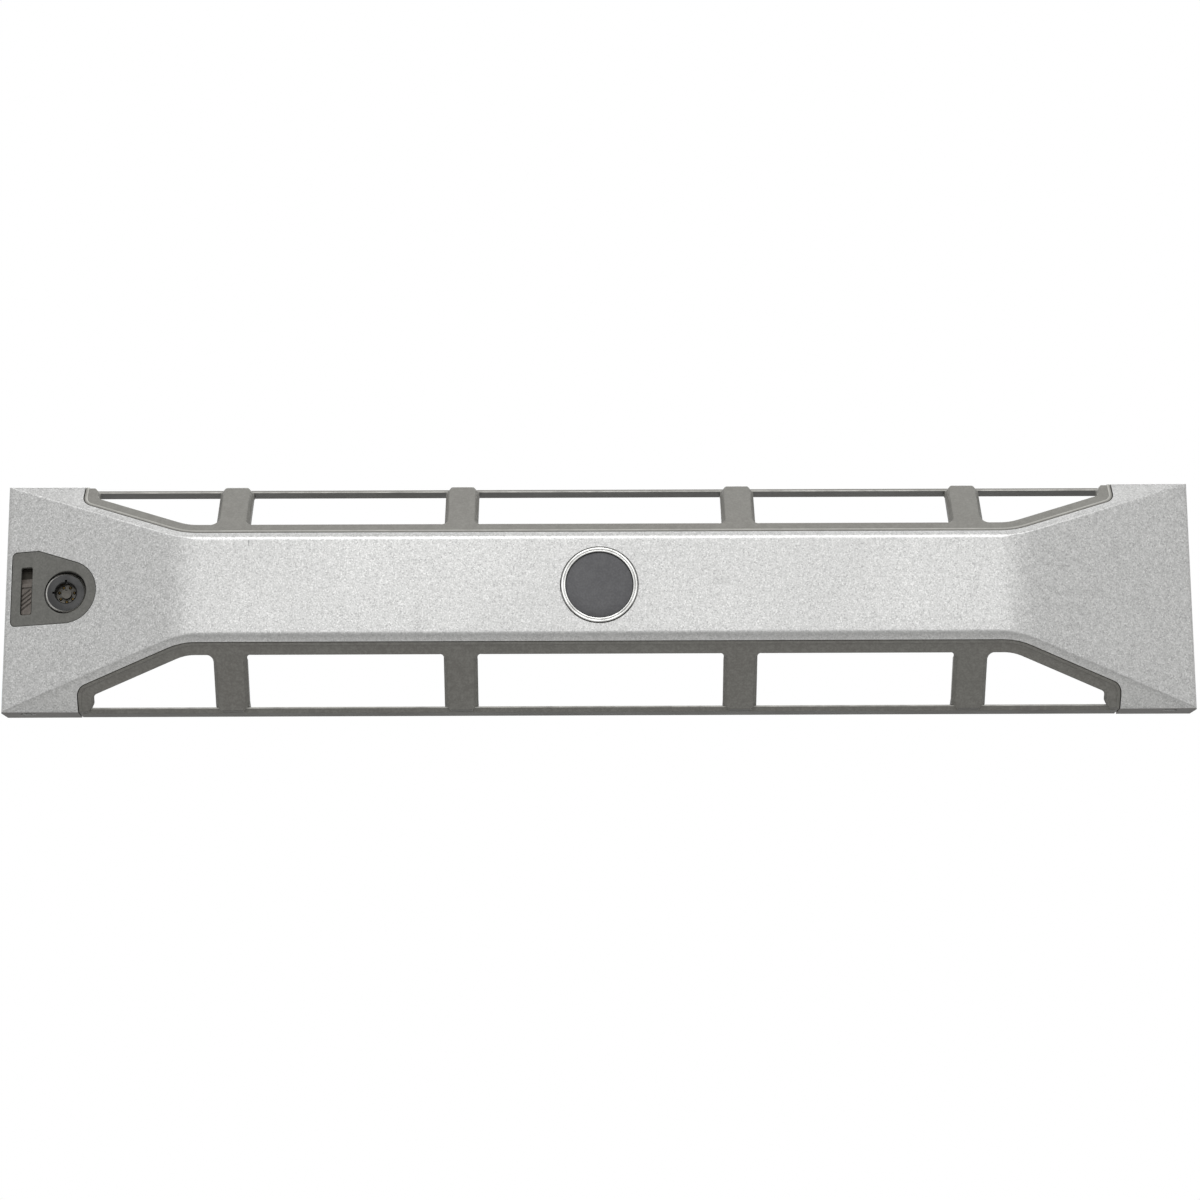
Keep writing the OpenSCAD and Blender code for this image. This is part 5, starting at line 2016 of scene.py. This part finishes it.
@dataclass
class KeyLock:
    """Round key lock: housing with keyway, plug with pins, washer, nut, cam and cam screw."""

    x: float = -199.2 * MM
    z: float = 1.0 * MM
    face_y: float = -15.8 * MM
    head_r: float = 7.5 * MM
    head_h: float = 3.2 * MM
    chamfer: float = 0.6 * MM
    body_r: float = 6.0 * MM
    end_y: float = -5.4 * MM
    keyway_r: float = 3.85 * MM
    keyway_chamfer: float = 0.4 * MM
    plug_r: float = 4.6 * MM
    collar_y: float = -12.0 * MM
    notch_half: float = 0.4 * MM
    notch_r: float = 4.95 * MM
    notch_y: float = -13.5 * MM
    thread_pitch: float = 1.0 * MM
    thread_d: float = 0.35 * MM
    pin_r: float = 0.55 * MM
    pin_circle: float = 2.875 * MM
    pin_y: float = -12.95 * MM
    pin_end_y: float = -10.6 * MM
    pin_count: int = 7
    nut_y: float = -10.3 * MM
    nut_t: float = 2.8 * MM
    nut_af: float = 14.6 * MM
    washer_y: float = -11.0 * MM
    washer_r: float = 8.6 * MM
    head: TurnedMetal = TurnedMetal(
        "lock head", Slot.LOCK_HEAD, tone(60, 60, 60), 0.3, 1.0, axis_x=-199.2 * MM, axis_z=MM,
        ring_scale=5200.0, dull=tone(42, 42, 43), depth=0.000008, edge_radius=0.0001,
    )
    core: TurnedMetal = TurnedMetal(
        "lock core", Slot.LOCK_CORE, tone(80, 78, 74), 0.32, 1.0, axis_x=-199.2 * MM, axis_z=MM,
        ring_scale=4200.0, dull=tone(50, 49, 47), depth=0.00001, edge_radius=0.0001,
    )
    # Dull dark brass, partly painted shade for pins that sit deep in the keyway.
    brass: TurnedMetal = TurnedMetal(
        "pin brass", Slot.BRASS, tone(112, 92, 54), 0.3, 1.0, dull=tone(46, 40, 30), dull_share=0.85,
    )
    zinc: TurnedMetal = TurnedMetal(
        "zinc plate", Slot.ZINC, tone(186, 188, 190), 0.33, 1.0, dull=tone(120, 122, 126),
    )

    def build(self, builder: Builder) -> None:
        """Builds and dresses housing, pins, washer and nut.

        Args:
            builder: Shared tools.
        """
        centre = (self.x, self.z)
        width = self.notch_half / self.notch_r
        edges = tuple(a + b for a in (math.pi / 2, math.pi) for b in (-width - 0.01, -width, width, width + 0.01))
        barrel = lathe(self.housing_outline(), centre, even_angles(112, edges), self.notched)
        # Painted highlight on the head's outer chamfer.
        away = np.hypot(barrel.points[:, 0] - self.x, barrel.points[:, 2] - self.z)
        painted_rim_highlight = (away > self.head_r - self.chamfer) & (barrel.points[:, 1] < self.face_y + self.chamfer)
        barrel.painted_highlight = 0.8 * painted_rim_highlight.astype(float)
        piece = barrel.outward().mesh("barrel", 40.0)
        builder.settle(piece, self.head, Body.BEZEL, "lock_barrel")
        turn = math.pi / 2 + (np.arange(self.pin_count) + 0.5) * TAU / self.pin_count
        places = np.stack([np.cos(turn), 0.0 * turn, np.sin(turn)], 1) * self.pin_circle
        places += np.array([self.x, 0.0, self.z])
        pin = lathe(self.pin_outline(), (0.0, 0.0), even_angles(20)).outward()
        builder.settle(pin.copies(places).mesh("pins", 50.0), self.brass, Body.CORE, "lock_pins")
        nut = lathe(self.nut_outline(), centre, even_angles(180), self.hexagon).outward()
        builder.settle(nut.mesh("nut", 24.0), self.zinc, Body.BEZEL, "lock_nut")
        washer = lathe(self.washer_outline(), centre, even_angles(72)).outward()
        builder.settle(washer.mesh("washer", 40.0), self.zinc, Body.BEZEL, "lock_washer")

    def housing_outline(self) -> np.ndarray:
        """Chamfered head, bore with a rounded keyway edge, collar, and a body for the thread."""
        seat = self.face_y + self.head_h
        front = rounded_loop(
            [
                (self.keyway_r, self.collar_y, 0.0),
                (self.keyway_r, self.notch_y + 0.02 * MM, 0.0),
                (self.keyway_r, self.notch_y, 0.0),
                (self.keyway_r, self.face_y + self.keyway_chamfer, 0.12 * MM),
                (self.keyway_r + self.keyway_chamfer, self.face_y, 0.12 * MM),
                (self.notch_r + 0.05 * MM, self.face_y, 0.0),
                (self.head_r - self.chamfer, self.face_y, 0.2 * MM),
                (self.head_r, self.face_y + self.chamfer, 0.2 * MM),
                (self.head_r, seat, 0.1 * MM),
                (self.body_r, seat, 0.0),
                (self.body_r, self.end_y, 0.0),
                (self.plug_r, self.end_y, 0.0),
                (self.plug_r, self.collar_y, 0.0),
            ],
            4,
        )
        on_body = np.flatnonzero(np.abs(front[:, 0] - self.body_r) < 1e-9)
        rows = np.arange(seat + 0.2 * MM, self.end_y - 0.15 * MM, self.thread_pitch / 6.0)
        thread = np.stack([np.full(len(rows), self.body_r), rows], 1)
        return np.insert(front, on_body[0] + 1, thread, axis=0)

    def notched(self, r: np.ndarray, y: np.ndarray, a: np.ndarray) -> tuple[np.ndarray, np.ndarray]:
        """Cuts the two notches and the thread.

        In a notch every radius below the notch's own becomes that radius. On the body the
        radius falls by a triangle wave of y / pitch - a / 360 degrees.

        Args:
            r: Radii.
            y: Depths.
            a: Angles.

        Returns:
            New radii and depths.
        """
        half = self.notch_half / self.notch_r + 1e-4
        near = np.minimum(np.abs(a - math.pi / 2.0), np.abs(a - math.pi)) <= half
        r = np.where(near & (y < self.notch_y + 0.01 * MM) & (r < self.notch_r), self.notch_r, r)
        wave = np.abs(2.0 * np.mod(y / self.thread_pitch - a / TAU, 1.0) - 1.0)
        fade = np.clip((self.end_y - y) / (0.8 * MM), 0.0, 1.0)
        fade = fade * np.clip((y - self.face_y - self.head_h) / (0.5 * MM), 0.0, 1.0)
        on_body = np.abs(r - self.body_r) < 1e-9
        return np.where(on_body, r - self.thread_d * wave * fade, r), y

    def pin_outline(self) -> np.ndarray:
        """A pin with a domed front."""
        r = self.pin_r
        return rounded_loop(
            [
                (0.0, self.pin_y, 0.0),
                (r, self.pin_y + 0.04 * MM, 0.3 * MM),
                (r, self.pin_end_y, 0.0),
                (0.0, self.pin_end_y, 0.0),
            ],
            4,
        )

    def nut_outline(self) -> np.ndarray:
        """A nut's section out to its corners, with the corners chamfered on both faces."""
        y0, y1, out = self.nut_y, self.nut_y + self.nut_t, self.nut_af / math.sqrt(3.0)
        bore, flat = self.body_r + 0.02 * MM, self.nut_af / 2.0 - 0.2 * MM
        return rounded_loop(
            [
                (bore, y0 + 0.4 * MM, 0.0),
                (bore + 0.4 * MM, y0, 0.0),
                (flat, y0, 0.0),
                (out, y0 + 0.55 * MM, 0.0),
                (out, y1 - 0.55 * MM, 0.0),
                (flat, y1, 0.0),
                (bore + 0.4 * MM, y1, 0.0),
                (bore, y1 - 0.4 * MM, 0.0),
            ]
        )

    def hexagon(self, r: np.ndarray, y: np.ndarray, a: np.ndarray) -> tuple[np.ndarray, np.ndarray]:
        """Limits the radius to a hexagon: half the width over the cosine of the angle from a flat.

        Args:
            r: Radii.
            y: Depths.
            a: Angles.

        Returns:
            New radii and depths.
        """
        turn = np.mod(a + math.pi / 6.0, math.pi / 3.0) - math.pi / 6.0
        return np.minimum(r, self.nut_af / 2.0 / np.cos(turn + math.pi / 6.0 - math.pi / 6.0)), y

    def washer_outline(self) -> np.ndarray:
        """A flat washer with softened edges."""
        y0, y1, inner = self.washer_y, self.nut_y, self.body_r + 0.2 * MM
        soft = 0.15 * MM
        return rounded_loop([(inner, y0, soft), (self.washer_r, y0, soft), (self.washer_r, y1, soft), (inner, y1, soft)])


@dataclass
class ScrewRow:
    """A row of equal pan-head screws driven forward, with a cross recess in each head."""

    name: str
    node: str
    body: Body
    places: tuple[tuple[float, float], ...]
    seat_y: float
    shank_r: float
    head_r: float
    head_h: float
    length: float
    finish: TurnedMetal = TurnedMetal(
        "screw steel", Slot.SCREW, tone(190, 190, 188), 0.3, 1.0, dull=tone(110, 110, 110),
    )

    def build(self, builder: Builder) -> None:
        """Builds and dresses the row.

        Args:
            builder: Shared tools.
        """
        one = lathe(self.outline(), (0.0, 0.0), even_angles(48), self.recessed).outward()
        offsets = np.array([(x, 0.0, z) for x, z in self.places])
        piece = one.copies(offsets).mesh(self.name, 40.0)
        builder.settle(piece, self.finish, self.body, self.node)

    def outline(self) -> np.ndarray:
        """Domed head over a threaded shank with a blunt tip, from the tip to the head's middle."""
        tip, top = self.seat_y - self.length, self.seat_y + self.head_h
        rows = np.arange(tip + 0.5 * MM, self.seat_y - 0.1 * MM, 0.14 * MM)
        shank = np.stack([np.full(len(rows), self.shank_r), rows], 1)
        share = np.linspace(1.0, 0.0, 14)
        drop = 2.0 * self.head_r - np.sqrt(4.0 - share**2) * self.head_r
        dome = np.stack([share * self.head_r, top - drop], 1)
        dome[0, 1] = max(dome[0, 1], self.seat_y + 0.05 * MM)
        start = np.array([[0.0, tip], [0.7 * self.shank_r, tip]])
        seat = np.array([[self.shank_r, self.seat_y], [self.head_r, self.seat_y]])
        return np.concatenate([start, shank, seat, dome])

    def recessed(self, r: np.ndarray, y: np.ndarray, a: np.ndarray) -> tuple[np.ndarray, np.ndarray]:
        """Sinks the cross into the head and cuts the thread into the shank.

        Depth of the cross is a smooth step of the distance to the nearer of its two bars. The
        thread is a triangle wave of y / pitch - a / 360 degrees.

        Args:
            r: Radii.
            y: Depths.
            a: Angles.

        Returns:
            New radii and depths.
        """
        across = np.minimum(np.abs(r * np.cos(a)), np.abs(r * np.sin(a)))
        inside = np.clip((0.17 * self.head_r - across) / (0.06 * self.head_r), 0.0, 1.0)
        inside = inside * np.clip((0.62 * self.head_r - r) / (0.1 * self.head_r), 0.0, 1.0)
        head = y > self.seat_y + 0.2 * self.head_h
        y = np.where(head, y - 0.45 * self.head_h * inside, y)
        wave = np.abs(2.0 * np.mod(y / (0.7 * MM) - a / TAU, 1.0) - 1.0)
        return np.where(np.abs(r - self.shank_r) < 1e-9, r * (1.0 - 0.12 * wave), r), y


@dataclass
class ReturnSpring:
    """Return spring of the latch, wound with flat closed ends."""

    x: float = -214.5 * MM
    y: float = -3.69 * MM
    low: float = 15.8 * MM
    high: float = 29.6 * MM
    radius: float = 1.75 * MM
    wire: float = 0.5 * MM
    turns: float = 6.0
    keep: float = 0.6
    finish: TurnedMetal = TurnedMetal(
        "spring steel", Slot.SPRING, tone(176, 176, 178), 0.26, 1.0, dull=tone(96, 96, 100),
    )

    def build(self, builder: Builder) -> None:
        """Builds and dresses the spring at one length; in the real latch it shortens as the latch lifts.

        Args:
            builder: Shared tools.
        """
        piece = self.coil().outward().mesh("coil", 50.0)
        builder.settle(piece, self.finish, Body.BEZEL, "latch_spring")
        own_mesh(piece)

    def coil(self) -> Surface:
        """Sweeps the wire along a helix whose climb fades out at both ends.

        With u from 0 to 1 the angle is u times all turns, and the height eases in and out over
        the first and last coil.

        Returns:
            The surface.
        """
        u = np.linspace(0.0, 1.0, int(self.turns * 30) + 1)
        angle = TAU * self.turns * u
        pace = np.clip(np.minimum(u, 1.0 - u) * self.turns, 0.0, 1.0) * 0.85 + 0.15
        climb = np.concatenate([[0.0], np.cumsum((pace[1:] + pace[:-1]) / 2.0)])
        climb /= climb[-1]
        half = self.wire / 2.0
        z = self.low + half + (self.high - self.low - self.wire) * climb
        path = np.stack([self.x + self.radius * np.cos(angle), self.y + self.radius * np.sin(angle), z], 1)
        return tube(path, np.full(len(u), half), 12)


@dataclass
class PlainNodes:
    """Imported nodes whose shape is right: a merged copy with broken edges and a finish."""

    rows: tuple[tuple[str, str, Finish, Body], ...]

    def build(self, builder: Builder) -> None:
        """Builds and dresses each node.

        Args:
            builder: Shared tools.
        """
        for node, name, finish, body in self.rows:
            builder.settle(smooth_copy(node, name), finish, body, node)


# ---------------------------------------------------------------- studio


@dataclass
class Studio:
    """Pale floor, soft lamps, white background and the camera."""

    camera_place: tuple[float, float, float] = (-0.00651, -1.16696, -0.27152)
    camera_lens: float = 94.97
    camera_roll: float = -0.27
    shift: tuple[float, float] = (0.00084, 0.0026)
    floor_z: float = -0.36
    floor_half: float = 8.0
    world_level: float = 0.4
    lamps: tuple[tuple[str, tuple[float, float, float], tuple[float, float], float], ...] = (
        ("front", (0.0, -2.44, 0.56), (1.8, 0.9), 8.6),
        ("above", (0.0, -1.1, 1.35), (1.6, 0.8), 22.0),
        ("back", (0.0, 1.3, 1.2), (1.8, 1.0), 8.0),
    )

    def build(self) -> None:
        """Sets up floor, lamps, world and camera."""
        self.floor()
        for name, place, size, power in self.lamps:
            self.lamp(name, place, size, power)
        self.world()
        self.camera()
        bpy.context.scene.view_settings.view_transform = "Standard"

    def floor(self) -> None:
        """Makes the pale floor as a flat grid with a faint fibre tone."""
        steps = np.linspace(-self.floor_half, self.floor_half, 33)
        x, y = np.meshgrid(steps, steps, indexing="ij")
        points = np.stack([x, y, np.full_like(x, self.floor_z)], -1).reshape(-1, 3)
        side = len(steps)
        i, k = np.meshgrid(np.arange(side - 1), np.arange(side - 1), indexing="ij")
        quads = np.stack(
            [i * side + k, (i + 1) * side + k, (i + 1) * side + k + 1, i * side + k + 1], -1
        ).reshape(-1, 4)
        data = bpy.data.meshes.new("floor")
        data.from_pydata(points.tolist(), [], quads.tolist())
        piece = bpy.data.objects.new("floor", data)
        bpy.context.scene.collection.objects.link(piece)
        made = bpy.data.materials.new("floor paper")
        made.use_nodes = True
        board = NodeBoard(made.node_tree)
        shader = next(n for n in made.node_tree.nodes if n.type == "BSDF_PRINCIPLED")
        shader.inputs["Roughness"].default_value = 0.85
        place = board.add("ShaderNodeTexCoord").outputs["Object"]
        fibre = board.noise(place, 300.0, 3.0)
        colour = board.mix(fibre, tone(226, 226, 225), tone(234, 234, 233))
        board.tree.links.new(colour, shader.inputs["Base Color"])
        data.materials.append(made)

    def lamp(
        self,
        name: str,
        place: tuple[float, float, float],
        size: tuple[float, float],
        power: float,
    ) -> None:
        """Adds one soft rectangular lamp that looks at the object.

        Args:
            name: Name of the lamp.
            place: Its place in metres.
            size: Its width and height in metres.
            power: Its power in watts.
        """
        light = bpy.data.lights.new(name, "AREA")
        light.shape = "RECTANGLE"
        light.size, light.size_y = size
        light.energy = power
        piece = bpy.data.objects.new(name, light)
        piece.location = place
        piece.rotation_euler = (-Vector(place)).to_track_quat("-Z", "Y").to_euler()
        bpy.context.scene.collection.objects.link(piece)

    def world(self) -> None:
        """Gives soft light from all sides and a white background for eye and gloss."""
        world = bpy.data.worlds.new("studio")
        world.use_nodes = True
        bpy.context.scene.world = world
        board = NodeBoard(world.node_tree)
        back = next(n for n in world.node_tree.nodes if n.type == "BACKGROUND")
        path = board.add("ShaderNodeLightPath").outputs
        seen = board.math("MAXIMUM", path["Is Camera Ray"], path["Is Glossy Ray"])
        seen = board.math("MAXIMUM", seen, path["Is Transmission Ray"])
        level = board.math(
            "ADD", self.world_level, board.math("MULTIPLY", seen, 1.0 - self.world_level)
        )
        back.inputs["Color"].default_value = (1.0, 1.0, 1.0, 1.0)
        world.node_tree.links.new(level, back.inputs["Strength"])

    def camera(self) -> None:
        """Adds the camera."""
        data = bpy.data.cameras.new("camera")
        data.lens = self.camera_lens
        data.sensor_width = 36.0
        data.shift_x, data.shift_y = self.shift
        data.clip_start, data.clip_end = 0.01, 50.0
        piece = bpy.data.objects.new("camera", data)
        piece.location = self.camera_place
        aim = (-Vector(self.camera_place)).to_track_quat("-Z", "Y")
        roll = Quaternion((0.0, 0.0, 1.0), math.radians(self.camera_roll))
        piece.rotation_euler = (aim @ roll).to_euler()
        bpy.context.scene.collection.objects.link(piece)
        bpy.context.scene.camera = piece


def sub_assemblies() -> list:
    """Lists all sub-assemblies in the order in which they are built.

    Returns:
        Objects with a build method.
    """
    insert = MouldedPlastic(
        "insert plastic", Slot.INSERT, tone(85, 85, 81), 0.5, light=tone(112, 111, 107),
        tint=tone(80, 78, 74), edge_radius=0.0004,
    )
    slider = MouldedPlastic(
        "slider plastic", Slot.SLIDER, tone(82, 76, 71), 0.45, light=tone(118, 111, 104),
        tint=tone(74, 69, 65), edge_radius=0.0002, wear=0.6,
    )
    zinc = RolledSteel("zinc steel", Slot.ZINC, tone(186, 188, 190), 0.34, 1.0)
    # Zinc darkened as painted shade, for the latch plate that lies in shadow behind the slider's slot.
    painted_shade_zinc = RolledSteel(
        "zinc with painted shade", Slot.ZINC, tone(74, 72, 68), 0.45, 1.0, dull=tone(56, 55, 53), yellow=tone(72, 68, 58)
    )
    lock = KeyLock()
    mm = MM
    guide_places = tuple((-204.5 * mm, z * mm) for z in (-34.59, -23.8, 23.8, 34.59))
    hook_places = tuple((207.0 * mm, z * mm) for z in (-29.0, -9.667, 9.667, 29.0))
    slider_places = ((-214.5 * mm, -3.9 * mm), (-214.5 * mm, 3.1 * mm))
    frame_places = tuple((x * mm, z * mm) for x in (-135, -45, 45, 135) for z in (-12, 12))
    return [
        Shell(),
        WindowFrame(),
        Badge(),
        lock,
        ReturnSpring(),
        ScrewRow("frame_bolts", "frame_screws", Body.BEZEL, frame_places, -22.9 * mm, 1.35 * mm, 2.6 * mm, 1.7 * mm, 4.2 * mm),
        ScrewRow("guide_bolts", "guide_screws", Body.BEZEL, guide_places, -4.69 * mm, 1.35 * mm, 2.6 * mm, 1.7 * mm, 4.4 * mm),
        ScrewRow("bracket_bolts", "hook_screws", Body.BEZEL, hook_places, -6.19 * mm, 1.35 * mm, 2.6 * mm, 1.7 * mm, 4.4 * mm),
        ScrewRow("cam_bolt", "cam_screw", Body.CORE, ((-199.2 * mm, mm),), -3.9 * mm, 1.2 * mm, 4.0 * mm, 1.6 * mm, 3.6 * mm),
        ScrewRow("slider_bolts", "slider_screws", Body.LATCH, slider_places, -6.19 * mm, 0.9 * mm, 1.7 * mm, 0.9 * mm, 3.8 * mm),
        PlainNodes(
            (
                ("lock_insert", "insert", insert, Body.BEZEL),
                ("release_slider", "slider", slider, Body.LATCH),
                ("badge_clip", "clip", zinc, Body.BEZEL),
                ("lock_plug", "plug", lock.core, Body.CORE),
                ("lock_cam", "cam", zinc, Body.CORE),
                ("latch_plate", "plate", painted_shade_zinc, Body.LATCH),
                ("upper_guide", "guide_high", zinc, Body.BEZEL),
                ("lower_guide", "guide_low", zinc, Body.BEZEL),
                ("hook_bracket", "bracket", zinc, Body.BEZEL),
            )
        ),
    ]


def main() -> None:
    """Builds all sub-assemblies and the studio in order."""
    logging.basicConfig(level=logging.INFO, format="%(name)s: %(message)s")
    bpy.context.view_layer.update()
    builder = Builder(Effects())
    for part in sub_assemblies():
        part.build(builder)
    Studio().build()
    bpy.context.view_layer.update()
    LOG.info("%d pieces built", builder.count)


if __name__ == "__main__":
    main()
